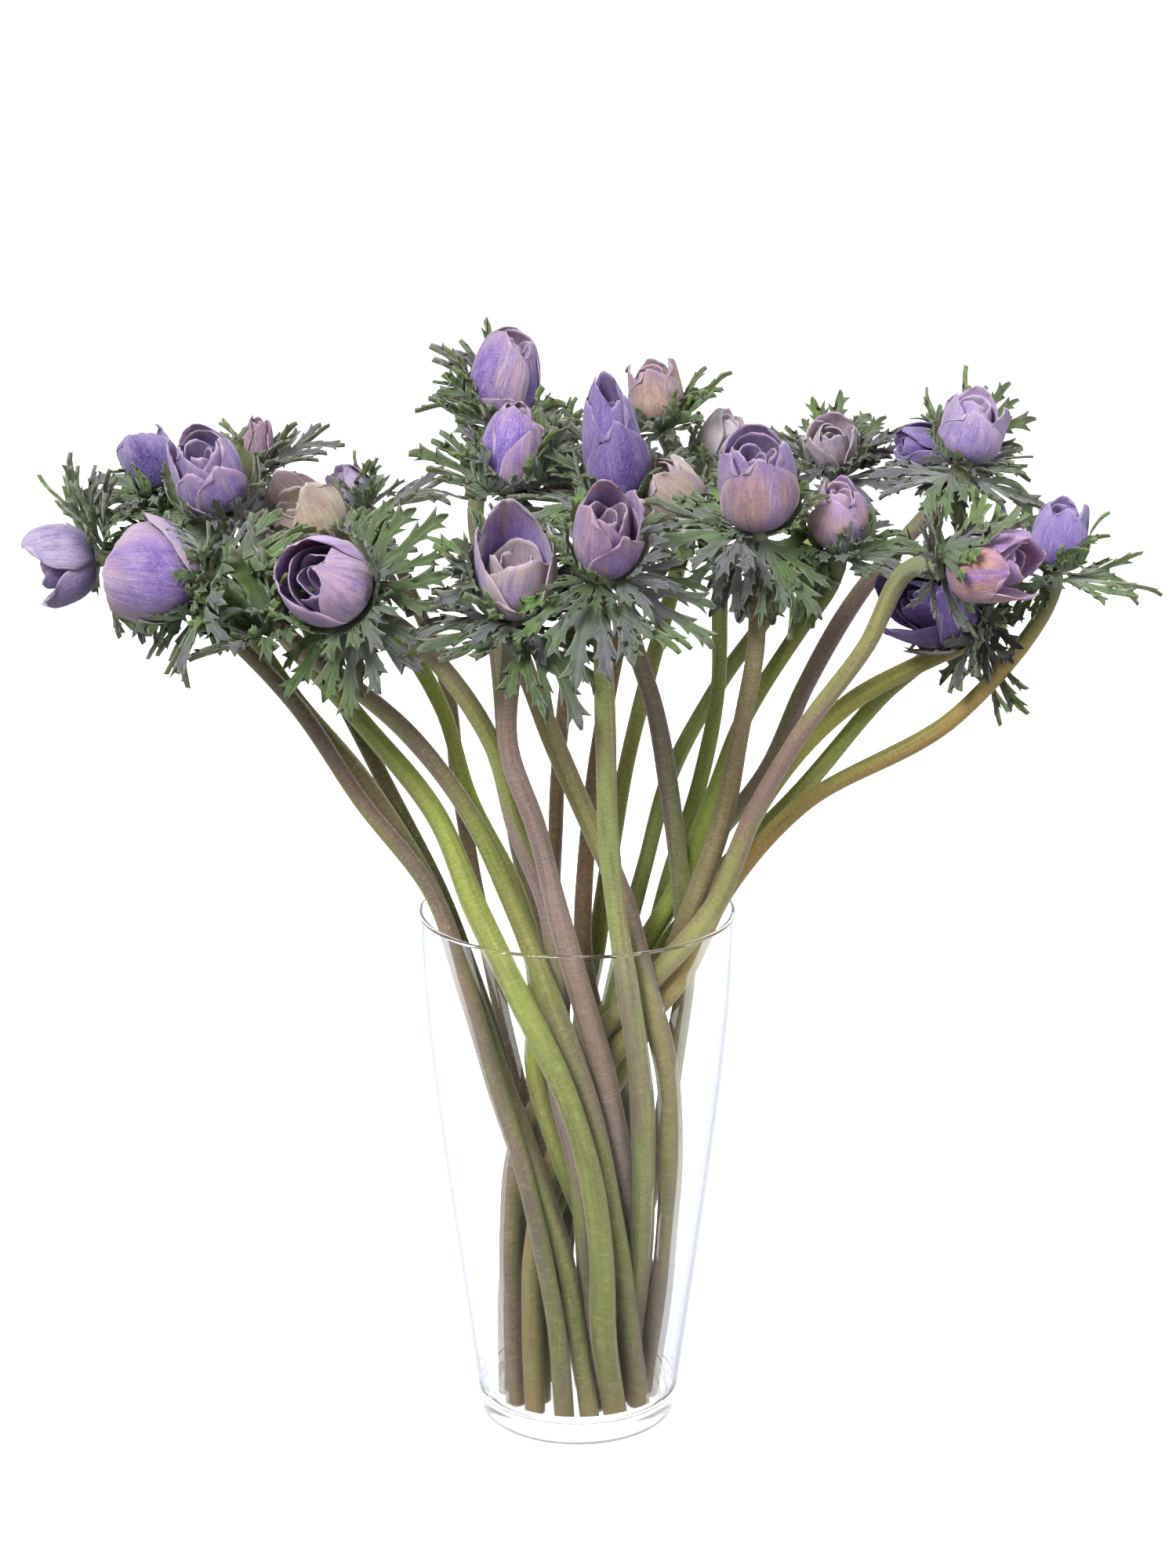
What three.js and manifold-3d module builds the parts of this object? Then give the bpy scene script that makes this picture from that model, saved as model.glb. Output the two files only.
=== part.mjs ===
// A clear glass vase of cut anemones: 25 stems, each with its ruff of cut leaves and its bloom.
// Millimetres, +Z up. The origin is the middle of the vase's underside and +Y points away from the viewer.
import * as THREE from 'three';
import { mergeVertices } from 'three/addons/utils/BufferGeometryUtils.js';
import Module from 'manifold-3d';

const wasm = await Module();
wasm.setup();

// ---- Vase ----
const VASE_HEIGHT = 250;
const RIM_RADIUS = 73;
const HEEL_RADIUS = 43;
const HEEL_IN = 3; // the heel's bevel, inwards and up
const HEEL_UP = 2.5;
const FLARE = 0.25; // how much of the wall's spread is gone before the rim, so that it ends almost upright
const WALL = 3;
const FLOOR = 8; // the top of the glass floor
const FLOOR_RADIUS = 37; // the flat of the floor, inside its rounded corner
const VASE_SIDES = 26;
const WALL_LEVELS = [12, 90, 170, 248];

// ---- Where the bunch is seen from ----
// A flower's place is given as it is seen: across and up in the plane through the vase's middle, then
// the depth behind that plane. The point slides along the line of sight, so its depth hides nothing.
const EYE = new THREE.Vector3(5, -1400, 683);

// ---- Stems ----
const STEM_RADIUS = 4.2;
const STEM_SIDES = 5;
const WAY_POINTS = 400; // along the curve on which a stem's bends are found
const STEM_GAP = 0.8; // the least air between two stems
const NECK = 16; // the straight top of a stem, in line with its bloom
const LEVEL = 42; // height between two bends of a stem
const LEAST_LEVEL = 14; // and between the last bend and the neck
const SLICE = 9; // height between two places where stems are held apart
const HIGHEST_SLICE = 500; // all necks are below it
const SETTLE_ROUNDS = 600;
const SETTLE_SHARE = 0.4; // how much of a push is made in a round
const FOOT_AIR = 0.3; // between a cut end and the floor, and between a stem and its bloom

// ---- Blooms: whorls of three petals, one inside the other, round a pointed heart ----
const PETAL_THICK = 0.9;
const PETAL_ROWS = [3, 3, 2]; // from claw to tip, in each whorl
const PETAL_COLUMNS = 2;
const CLAW_RADIUS = 4; // where the outer petals grow out of the heart
const CLAW_HEIGHT = 1.4;
const CLAW_HALF_ANGLE = 24;
const PETAL_HALF_ANGLE = 52;
const WHORL_PETALS = 3;
const WHORL_STEP = 3.1; // how much narrower each whorl is
const WHORL_RISE = 1.9; // and how much higher it starts
const FULL_WIDTH = 31; // a bloom this wide has three whorls, and a smaller one two
const TIP_ROUND = 0.24; // how much lower a petal's corners are than its tip
const FULL_BY = 0.45; // the share of a petal's length where it reaches its full width
const LEAST_MOUTH = 1.2;
// Handles of the curve that a petal follows: two of its radius, in shares of belly and mouth, and two
// of its height, in shares of its length.
const LOW_BELLY = 1.35;
const HIGH_BELLY = 0.75;
const HIGH_MOUTH = 0.45;
const RISES = [0.03, 0.7];
const PETAL_VARIES = 0.07; // in shares of a petal's length
const BLOOM_SWAYS = 0.1; // how far a bloom's top stands to a side, in shares of its length
const HEART_TOP = 0.42; // in shares of the bloom's length

// ---- Ruffs: three cut leaves round each neck ----
const LEAF_THICK = 0.8;
const LEAF_AIR = 0.3; // kept on every side between a leaf and the next piece
const RUFF_LEAVES = 3;
const RUFF_DROP = 6; // below the bloom
const LEAF_START = 1; // from the stem's axis
const LEAF_ROOT = 0.045; // half the width of a leaf in the stem, in shares of its length
const LEAF_STALK = [0.18, 0.06]; // how far out the blade begins, and half its width there
const LEAF_ARCH = 42; // degrees that a leaf bends outwards from root to tip
const LEAF_WAVE = 0.07; // in shares of its length
const LEAF_WAVES = 7; // round a whole turn
// The points of a leaf from its left edge to its right: degrees from the midrib and share of the length.
const LEAF_TEETH = [[-49, 0.76], [-35, 0.92], [-17, 0.86], [0, 1], [18, 0.88], [35, 0.9], [49, 0.74]];
const LEAF_CUTS = [[-44, 0.5], [-27, 0.5], [-9, 0.6], [9, 0.62], [27, 0.5], [43, 0.48]];
// A leaf takes the first of these ways to stand that is clear of every other piece.
const LEAF_SIZES = [1, 0.86, 0.72, 0.58];
const LEAF_TURNS = [0, 12, -12, 24, -24, 36, -36];
const LEAF_LIFTS = [60, 45, 30, 15, 0, -15, -30];
const FREE_LIFT = [-8, 58]; // the range in which a leaf would stand by itself

// Which draw is whose, so that no two are the same.
const SWAY_DRAW = 20;
const WAVE_DRAW = 40;
const LIFT_DRAW = 50;

// Each flower: where its cut end stands on the floor, its stem's way up, and its bloom. A bloom's place
// and a bend of the stem are [across, up, depth]. lean is degrees from upright, to the right when
// positive, and nod is degrees towards the viewer. mouth is how wide the bloom is open, crest how much
// taller its back petals are, and turn where its first petal stands. leaf is how long a ruff's leaves are,
// ruff where the first of them stands, and tint its petals' main colour.
const FLOWERS = [
  { foot: [-6, -32], route: [[-10, 40, -33], [-22, 110, -33], [-37, 160, -30], [-66, 240, -16],
      [-100, 303, 0], [-140, 362, 12], [-178, 394, 18]],
    at: [-219, 410, 20], lean: -98, nod: 8, long: 34, wide: 34,
    mouth: 0.95, crest: 0, turn: 20, leaf: 52, ruff: -10, tint: 0xc3b2cf },
  { foot: [29, -17], route: [[22, 60, -20], [14, 115, -27], [3, 160, -33], [-24, 240, -35],
      [-65, 320, -40], [-110, 360, -47], [-140, 384, -51]],
    at: [-173, 403, -55], lean: -72, nod: 25, long: 47, wide: 42,
    mouth: 0.5, crest: 0.08, turn: 95, leaf: 52, ruff: 0, tint: 0xb9a3d0 },
  { foot: [6, -33], route: [[-2, 50, -27], [-17, 110, -22], [-33, 160, -18], [-60, 240, -4],
      [-85, 293, 12], [-128, 350, 28], [-158, 398, 38]],
    at: [-183, 440, 42], lean: -45, nod: 0, long: 30, wide: 26,
    mouth: 0.4, crest: 0, turn: 50, leaf: 43, ruff: 30, tint: 0x5c4276 },
  { foot: [18, -28], route: [[12, 40, -33], [10, 95, -40], [-6, 160, -44], [-43, 240, -37],
      [-62, 290, -28], [-95, 335, -18], [-133, 378, -9]],
    at: [-160, 430, -5], lean: -5, nod: 25, long: 42, wide: 38,
    mouth: 0.8, crest: 0.06, turn: 0, leaf: 54, ruff: 0, tint: 0xa78cb4 },
  { foot: [10, -9], route: [[-8, 90, -8], [-31, 160, -5], [-57, 240, 7], [-75, 285, 18],
      [-97, 328, 34], [-122, 385, 52]],
    at: [-142, 455, 62], lean: 0, nod: 5, long: 24, wide: 17,
    mouth: 0.3, crest: 0, turn: 30, leaf: 45, ruff: 0, tint: 0xc9a3b0 },
  { foot: [20, -14], route: [[6, 80, -15], [-16, 160, -14], [-22, 240, -10], [-50, 305, 0],
      [-65, 355, 3], [-85, 390, 5]],
    at: [-113, 425, 8], lean: -25, nod: 15, long: 34, wide: 33,
    mouth: 1, crest: 0.05, turn: 10, leaf: 48, ruff: 60, tint: 0xcabdb0 },
  { foot: [3, 1], route: [[-10, 90, 6], [-20, 130, 10], [-27, 160, 9], [-43, 240, 22], [-53, 300, 40],
      [-60, 360, 58]],
    at: [-95, 437, 72], lean: -35, nod: 0, long: 22, wide: 20,
    mouth: 0.5, crest: 0, turn: 80, leaf: 48, ruff: 0, tint: 0xc6b6dc },
  { foot: [8, -21], route: [[4, 80, -22], [-8, 160, -27], [-12, 240, -34], [-27, 285, -46],
      [-46, 345, -60], [-70, 372, -64]],
    at: [-107, 398, -66], lean: -40, nod: 55, long: 42, wide: 42,
    mouth: 0.6, crest: 0, turn: 60, leaf: 54, ruff: 0, tint: 0xb58fb8 },
  { foot: [24, 17], route: [[27, 90, 22], [22, 160, 30], [-16, 240, 42], [-30, 300, 46],
      [-36, 375, 50], [-45, 440, 54]],
    at: [-35, 482, 56], lean: 15, nod: 10, long: 37, wide: 34,
    mouth: 0.6, crest: 0.05, turn: 15, leaf: 56, ruff: 60, tint: 0xb7a6cf },
  { foot: [33, -4], route: [[40, 60, -10], [43, 160, -20], [26, 240, -23], [15, 270, -20],
      [-8, 322, -14], [-30, 390, -4]],
    at: [-29, 445, 2], lean: 0, nod: 15, long: 38, wide: 33,
    mouth: 0.55, crest: 0, turn: 70, leaf: 50, ruff: 60, tint: 0xa39bd0 },
  { foot: [32, 8], route: [[30, 70, -4], [14, 160, -24], [-7, 240, -43],
      [-25, 312, -60], [-38, 350, -68]],
    at: [-28, 388, -74], lean: 3, nod: 20, long: 52, wide: 38,
    mouth: 0.65, crest: 0.2, turn: 90, leaf: 54, ruff: 200, tint: 0xb5a2ae },
  { foot: [14, 3], route: [[30, 90, 2], [43, 160, 1], [48, 240, -6], [49, 285, -7],
      [35, 345, -9], [24, 390, -12]],
    at: [22, 438, -14], lean: -5, nod: 10, long: 60, wide: 34,
    mouth: 0.35, crest: 0.1, turn: 100, leaf: 48, ruff: 60, tint: 0x6a5fb2 },
  { foot: [12, 16], route: [[12, 90, 18], [12, 160, 22], [3, 240, 32], [8, 310, 52], [22, 390, 74]],
    at: [38, 474, 84], lean: -15, nod: 5, long: 32, wide: 28,
    mouth: 0.6, crest: 0, turn: 40, leaf: 41, ruff: 0, tint: 0xd6bfc8 },
  { foot: [24, 2], route: [[30, 80, -14], [30, 160, -28], [19, 240, -44], [14, 290, -58],
      [13, 350, -74]],
    at: [14, 405, -84], lean: 5, nod: 30, long: 46, wide: 32,
    mouth: 0.7, crest: 0.05, turn: 25, leaf: 54, ruff: 340, tint: 0xa97fa6 },
  { foot: [2, 15], route: [[-12, 90, 26], [-20, 160, 34], [-12, 240, 55], [-8, 325, 60], [0, 400, 60]],
    at: [-8, 462, 62], lean: -30, nod: 0, long: 22, wide: 18,
    mouth: 0.4, crest: 0, turn: 0, leaf: 37, ruff: 30, tint: 0x6f62ac },
  { foot: [-10, 27], route: [[-6, 90, 34], [2, 160, 41], [10, 240, 50], [26, 335, 70], [42, 395, 82]],
    at: [58, 455, 96], lean: 25, nod: 5, long: 30, wide: 24,
    mouth: 0.6, crest: 0, turn: 65, leaf: 41, ruff: 0, tint: 0xd3bccd },
  { foot: [-33, -4], route: [[-32, 70, 0], [-24, 120, 1], [-4, 160, 6], [51, 240, -9],
      [66, 290, -26], [76, 345, -42], [82, 390, -50]],
    at: [80, 428, -54], lean: 0, nod: 25, long: 44, wide: 38,
    mouth: 0.6, crest: 0.08, turn: 5, leaf: 52, ruff: 330, tint: 0xb898a0 },
  { foot: [2, 29], route: [[12, 90, 34], [24, 160, 38], [36, 240, 33], [56, 310, 26], [66, 370, 22]],
    at: [60, 440, 24], lean: -40, nod: 10, long: 26, wide: 24,
    mouth: 1, crest: 0, turn: 35, leaf: 39, ruff: 120, tint: 0xcdbfa8 },
  { foot: [-11, 10], route: [[-8, 90, 14], [4, 160, 19], [24, 240, 25], [45, 320, 44],
      [72, 368, 56], [100, 410, 66]],
    at: [113, 455, 74], lean: 0, nod: 30, long: 25, wide: 26,
    mouth: 0.9, crest: 0, turn: 85, leaf: 43, ruff: 60, tint: 0xcfc0c4 },
  { foot: [-17, -13], route: [[-18, 70, -9], [-8, 120, -4], [8, 160, -1], [40, 240, -2],
      [62, 312, -14], [90, 365, -26]],
    at: [113, 418, -34], lean: 5, nod: 15, long: 32, wide: 28,
    mouth: 0.5, crest: 0, turn: 45, leaf: 48, ruff: 340, tint: 0xc4a08e },
  { foot: [-30, 9], route: [[-32, 70, 11], [-28, 120, 14], [-14, 160, 17], [49, 240, 22],
      [90, 290, 22], [135, 347, 20], [172, 382, 18], [184, 418, 15]],
    at: [172, 457, 12], lean: 10, nod: 5, long: 33, wide: 31,
    mouth: 0.7, crest: 0, turn: 20, leaf: 45, ruff: 340, tint: 0xb3a2d6 },
  { foot: [-22, 19], route: [[-22, 80, 22], [-18, 120, 26], [-8, 160, 30], [41, 240, 44],
      [88, 318, 48], [115, 380, 52], [152, 428, 58]],
    at: [164, 461, 60], lean: -80, nod: 10, long: 26, wide: 24,
    mouth: 0.6, crest: 0, turn: 75, leaf: 43, ruff: 60, tint: 0x6b4f96 },
  { foot: [-29, -17], route: [[-31, 70, -10], [-26, 120, -5], [-12, 160, -3], [55, 240, -20],
      [71, 275, -30], [103, 335, -48], [138, 385, -64]],
    at: [165, 409, -72], lean: 84, nod: 18, long: 42, wide: 32,
    mouth: 0.75, crest: 0.05, turn: 100, leaf: 50, ruff: 60, tint: 0xcd9c78 },
  { foot: [-20, -26], route: [[-21, 70, -21], [-14, 120, -16], [1, 160, -12], [61, 240, -5],
      [85, 285, -8], [120, 310, -12], [160, 337, -15], [195, 365, -16]],
    at: [213, 409, -16], lean: 3, nod: 5, long: 32, wide: 28,
    mouth: 0.5, crest: 0, turn: 55, leaf: 48, ruff: 350, tint: 0x8f86cc },
  { foot: [-20, 0], route: [[-20, 70, 3], [-8, 120, 6], [14, 160, 9], [56, 240, 10],
      [95, 318, 10], [125, 348, 10], [160, 365, 10]],
    at: [178, 388, -4], lean: -72, nod: 25, long: 45, wide: 38,
    mouth: 0.85, crest: 0, turn: 30, leaf: 52, ruff: 180, tint: 0x5f4690 },
];

const rad = THREE.MathUtils.degToRad;

// A steady number from 0 to 1 for each pair of whole numbers, the same every time.
function draw(a, b) {
  const wide = Math.sin(a * 12.9898 + b * 78.233) * 43758.5453;
  return wide - Math.floor(wide);
}

function seen([across, up, depth]) {
  const onPlane = new THREE.Vector3(across, 0, up);
  return onPlane.sub(EYE).multiplyScalar((depth - EYE.y) / -EYE.y).add(EYE);
}

// ---- Closed surfaces ----

function geometryOf(points, triangles) {
  const geometry = new THREE.BufferGeometry();
  const numbers = points.flatMap((point) => point.toArray());
  geometry.setAttribute('position', new THREE.Float32BufferAttribute(numbers, 3));
  geometry.setIndex(triangles.flat());
  return geometry;
}

// Two like faces, split into the same triangles, and the edge between them that follows rim.
function closedSheet(front, back, triangles, rim) {
  const count = front.length;
  const faces = triangles.map(([a, b, c]) => [a, b, c]);
  faces.push(...triangles.map(([a, b, c]) => [count + a, count + c, count + b]));
  rim.forEach((a, i) => {
    const b = rim[(i + 1) % rim.length];
    faces.push([b, a, count + a], [b, count + a, count + b]);
  });
  return geometryOf([...front, ...back], faces);
}

function solidOf(geometry) {
  const bare = geometry.clone();
  bare.deleteAttribute('normal');
  bare.deleteAttribute('uv');
  const merged = mergeVertices(bare, 1e-4);
  const triVerts = new Uint32Array(merged.index.array);
  const vertProperties = new Float32Array(merged.attributes.position.array);
  return new wasm.Manifold(new wasm.Mesh({ numProp: 3, vertProperties, triVerts }));
}

function meshOf(name, solid, material) {
  const { vertProperties, triVerts } = solid.getMesh();
  const geometry = new THREE.BufferGeometry();
  geometry.setAttribute('position', new THREE.BufferAttribute(vertProperties, 3));
  geometry.setIndex(new THREE.BufferAttribute(triVerts, 1));
  const mesh = new THREE.Mesh(geometry, material);
  mesh.name = name;
  return mesh;
}

// ---- The glass ----

// The wall flares from the heel and stands almost upright at the rim.
function vaseRadius(z) {
  const t = z / VASE_HEIGHT;
  return HEEL_RADIUS + (RIM_RADIUS - HEEL_RADIUS) * ((1 + FLARE) * t - FLARE * t ** 5);
}

// The inner face between two levels is straight, and its sides are flat.
function innerRadius(z) {
  const above = WALL_LEVELS.find((level, i) => i && level >= z) ?? WALL_LEVELS.at(-1);
  const below = WALL_LEVELS[WALL_LEVELS.indexOf(above) - 1];
  const share = (z - below) / (above - below);
  const round = vaseRadius(below) + share * (vaseRadius(above) - vaseRadius(below)) - WALL;
  return round * Math.cos(Math.PI / VASE_SIDES);
}

function vaseMesh() {
  const outside = WALL_LEVELS.map((z) => new THREE.Vector2(vaseRadius(z), z));
  const inside = WALL_LEVELS.map((z) => new THREE.Vector2(vaseRadius(z) - WALL, z)).reverse();
  const profile = [
    new THREE.Vector2(0, 0),
    new THREE.Vector2(HEEL_RADIUS - HEEL_IN, 0),
    new THREE.Vector2(HEEL_RADIUS, HEEL_UP),
    ...outside,
    new THREE.Vector2(vaseRadius(VASE_HEIGHT) - WALL / 2, VASE_HEIGHT),
    ...inside,
    new THREE.Vector2(FLOOR_RADIUS, FLOOR),
    new THREE.Vector2(0, FLOOR),
  ];
  const geometry = new THREE.LatheGeometry(profile, VASE_SIDES).rotateX(Math.PI / 2);
  const glass = new THREE.MeshStandardMaterial({
    color: 0xf4f8fa, roughness: 0.03, metalness: 0, transparent: true, opacity: 0.3,
  });
  return meshOf('vase', solidOf(geometry), glass);
}

// ---- The bloom's own axes: z out of the stem, y to the back, x to the right ----

function headMatrix(flower) {
  const lean = rad(flower.lean);
  const nod = rad(flower.nod);
  const level = Math.cos(nod);
  const z = new THREE.Vector3(Math.sin(lean) * level, -Math.sin(nod), Math.cos(lean) * level);
  const y = new THREE.Vector3(0, 1, 0).addScaledVector(z, -z.y).normalize();
  const x = new THREE.Vector3().crossVectors(y, z);
  return new THREE.Matrix4().makeBasis(x, y, z).setPosition(seen(flower.at));
}

// ---- Stems ----

// A stem's line: a bend at every level below its neck, then the neck's two ends.
function stemLine(flower) {
  const head = headMatrix(flower);
  const neck = new THREE.Vector3(0, 0, -NECK).applyMatrix4(head);
  const top = new THREE.Vector3(0, 0, 0).applyMatrix4(head);
  const foot = new THREE.Vector3(...flower.foot, FLOOR + FOOT_AIR);
  const way = new THREE.CatmullRomCurve3([foot, ...flower.route.map(seen), neck], false, 'centripetal');
  const fine = way.getPoints(WAY_POINTS);
  const bends = [foot];
  for (let z = foot.z + LEVEL; z < neck.z - LEAST_LEVEL; z += LEVEL) {
    const i = fine.findIndex((p) => p.z >= z);
    const share = (z - fine[i - 1].z) / (fine[i].z - fine[i - 1].z);
    bends.push(fine[i - 1].clone().lerp(fine[i], share));
  }
  return { bends: [...bends, neck], top };
}

// Where a stem's line is at a height, with the share of the bend above, or nothing past the neck.
function atHeight(bends, z) {
  const above = bends.findIndex((p) => p.z > z);
  if (above < 1) return null;
  const [low, high] = [bends[above - 1], bends[above]];
  const share = (z - low.z) / (high.z - low.z);
  const slope = new THREE.Vector2(high.x - low.x, high.y - low.y).divideScalar(high.z - low.z);
  return { above, share, slope, x: low.x + share * (high.x - low.x), y: low.y + share * (high.y - low.y) };
}

// Stems lie against each other, the glass and the blooms without crossing them. In every slice each is
// pushed sideways out of the others, a little in each round. Cut ends and necks stay where they are.
function settle(lines) {
  const least = 2 * STEM_RADIUS + STEM_GAP;
  const middles = FLOWERS.map((flower) => {
    const head = headMatrix(flower);
    const tip = new THREE.Vector3(0, 0, flower.long).applyMatrix4(head);
    return [seen(flower.at), tip];
  });
  for (let round = 0; round < SETTLE_ROUNDS; round++) {
    const pushes = lines.map(({ bends }) => bends.map(() => ({ x: 0, y: 0 })));
    const push = (i, place, x, y) => {
      const spread = place.share ** 2 + (1 - place.share) ** 2;
      for (const [k, part] of [[place.above, place.share], [place.above - 1, 1 - place.share]]) {
        pushes[i][k].x += (x * part) / spread;
        pushes[i][k].y += (y * part) / spread;
      }
    };
    for (let z = FLOOR + FOOT_AIR; z < HIGHEST_SLICE; z += SLICE) {
      const places = lines.map(({ bends }) => atHeight(bends, z));
      places.forEach((p, i) => {
        if (!p) return;
        for (let j = i + 1; j < places.length; j++) {
          const q = places[j];
          if (!q) continue;
          const side = [p.x - q.x, p.y - q.y];
          const apart = Math.hypot(...side);
          const tilt = [(p.slope.x + q.slope.x) / 2, (p.slope.y + q.slope.y) / 2];
          const along = side[0] * tilt[0] + side[1] * tilt[1];
          const clear = Math.sqrt(apart ** 2 - along ** 2 / (1 + tilt[0] ** 2 + tilt[1] ** 2));
          if (clear >= least) continue;
          const half = (least - clear) / 2 / apart;
          push(i, p, side[0] * half, side[1] * half);
          push(j, q, -side[0] * half, -side[1] * half);
        }
        FLOWERS.forEach((flower, j) => {
          if (i === j) return;
          const here = new THREE.Vector3(p.x, p.y, z);
          const near = new THREE.Line3(...middles[j]).closestPointToPoint(here, true, new THREE.Vector3());
          const reach = flower.wide / 2 + STEM_RADIUS + STEM_GAP;
          const away = here.sub(near);
          if (away.length() >= reach) return;
          const half = (reach - away.length()) / Math.hypot(away.x, away.y);
          push(i, p, away.x * half, away.y * half);
        });
        const steep = Math.hypot(1, p.slope.length());
        const room = innerRadius(z) - STEM_RADIUS * steep - STEM_GAP;
        const out = Math.hypot(p.x, p.y);
        if (z < VASE_HEIGHT + STEM_RADIUS && out > room) {
          push(i, p, (p.x / out) * (room - out), (p.y / out) * (room - out));
        }
      });
    }
    lines.forEach(({ bends }, i) => {
      for (let k = 1; k < bends.length - 1; k++) {
        bends[k].x += SETTLE_SHARE * pushes[i][k].x;
        bends[k].y += SETTLE_SHARE * pushes[i][k].y;
      }
    });
  }
}

// The line with its bends as they are, for a section to follow.
class BentLine extends THREE.Curve {
  constructor(points) {
    super();
    this.points = points;
  }

  getPoint(t) {
    const place = Math.min(Math.max(t, 0), 1) * (this.points.length - 1);
    const k = Math.min(Math.floor(place), this.points.length - 2);
    return this.points[k].clone().lerp(this.points[k + 1], place - k);
  }

  getPointAt(t) {
    return this.getPoint(t);
  }

  getTangentAt(t) {
    return this.getTangent(t);
  }
}

// A stem is cut square, so a leaning one stands on the edge of its cut end.
function raisedFoot(foot, next) {
  const way = next.clone().sub(foot).normalize();
  const rise = STEM_RADIUS * Math.hypot(way.x, way.y);
  return foot.clone().addScaledVector(way, rise / way.z);
}

function stemGeometry({ bends, top }) {
  const section = new THREE.Shape();
  for (let i = 0; i < STEM_SIDES; i++) {
    const angle = (i / STEM_SIDES) * 2 * Math.PI;
    const [x, y] = [STEM_RADIUS * Math.cos(angle), STEM_RADIUS * Math.sin(angle)];
    if (i === 0) section.moveTo(x, y);
    else section.lineTo(x, y);
  }
  const extrudePath = new BentLine([raisedFoot(bends[0], bends[1]), ...bends.slice(1), top]);
  return new THREE.ExtrudeGeometry(section, { steps: bends.length, curveSegments: 1, extrudePath });
}

// ---- Blooms ----

function bezier(a, b, c, d, t) {
  const u = 1 - t;
  return a * u ** 3 + 3 * b * u * u * t + 3 * c * u * t * t + d * t ** 3;
}

// A point of a cupped petal in its bloom's axes: along is 0 at the claw and 1 at the tip, and across
// runs from -1 to 1. All petals of a whorl lie on one round surface, which bulges out of the heart and
// closes in to the bloom's mouth. A shorter petal ends lower on it.
function petalPoint(flower, petal, along, across) {
  const t = along * petal.reach * (1 - TIP_ROUND * across ** 2);
  const belly = flower.wide / 2 - WHORL_STEP * petal.whorl;
  const mouth = Math.max(flower.mouth * (flower.wide / 2) - WHORL_STEP * petal.whorl, LEAST_MOUTH);
  const start = CLAW_RADIUS - petal.whorl / 2;
  const radius = bezier(start, LOW_BELLY * belly, HIGH_BELLY * belly + HIGH_MOUTH * mouth, mouth, t);
  const claw = CLAW_HEIGHT + WHORL_RISE * petal.whorl;
  const height = claw + (flower.long - claw) * bezier(0, ...RISES, 1, t);
  const opening = THREE.MathUtils.smoothstep(t, 0, FULL_BY);
  const half = rad(CLAW_HALF_ANGLE + (PETAL_HALF_ANGLE - CLAW_HALF_ANGLE) * opening);
  const angle = petal.angle + across * half;
  return new THREE.Vector3(radius * Math.cos(angle), radius * Math.sin(angle), height);
}

// Each whorl stands between the petals of the one outside it, and each petal differs a little.
function whorlsOf(flower, number) {
  const count = flower.wide < FULL_WIDTH ? 2 : 3;
  return Array.from({ length: count }, (_, whorl) =>
    Array.from({ length: WHORL_PETALS }, (__, i) => {
      const angle = rad(flower.turn + (360 * i + 180 * whorl) / WHORL_PETALS);
      const own = PETAL_VARIES * draw(number, WHORL_PETALS * whorl + i);
      const reach = 1 - flower.crest * (1 - Math.sin(angle)) - own;
      return { whorl, angle, reach };
    }),
  );
}

// The corners of a petal's outer and inner face, row by row from the claw.
function petalCorners(flower, petal) {
  const rows = PETAL_ROWS[petal.whorl];
  const outer = [];
  const inner = [];
  const step = 0.01;
  const at = (along, across) => petalPoint(flower, petal, along, across);
  for (let row = 0; row <= rows; row++) {
    for (let column = 0; column <= PETAL_COLUMNS; column++) {
      const along = row / rows;
      const across = (2 * column) / PETAL_COLUMNS - 1;
      const up = at(along + step, across).sub(at(along - step, across));
      const side = at(along, across + step).sub(at(along, across - step));
      const half = new THREE.Vector3().crossVectors(side, up).normalize().multiplyScalar(PETAL_THICK / 2);
      outer.push(at(along, across).add(half));
      inner.push(at(along, across).sub(half));
    }
  }
  return { outer, inner };
}

// Triangles between two rings of corners, the upper or inner ring last.
function band(low, high) {
  const faces = [];
  let [a, b] = [0, 0];
  const angleIn = (ring, k) => ring[k % ring.length].angle + (k >= ring.length ? 2 * Math.PI : 0);
  while (a < low.length || b < high.length) {
    const [here, there] = [low[a % low.length].id, high[b % high.length].id];
    const stepLow = b >= high.length || (a < low.length && angleIn(low, a + 1) <= angleIn(high, b + 1));
    if (stepLow) {
      faces.push([here, low[(a + 1) % low.length].id, there]);
      a += 1;
    } else {
      faces.push([here, high[(b + 1) % high.length].id, there]);
      b += 1;
    }
  }
  return faces;
}

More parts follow.
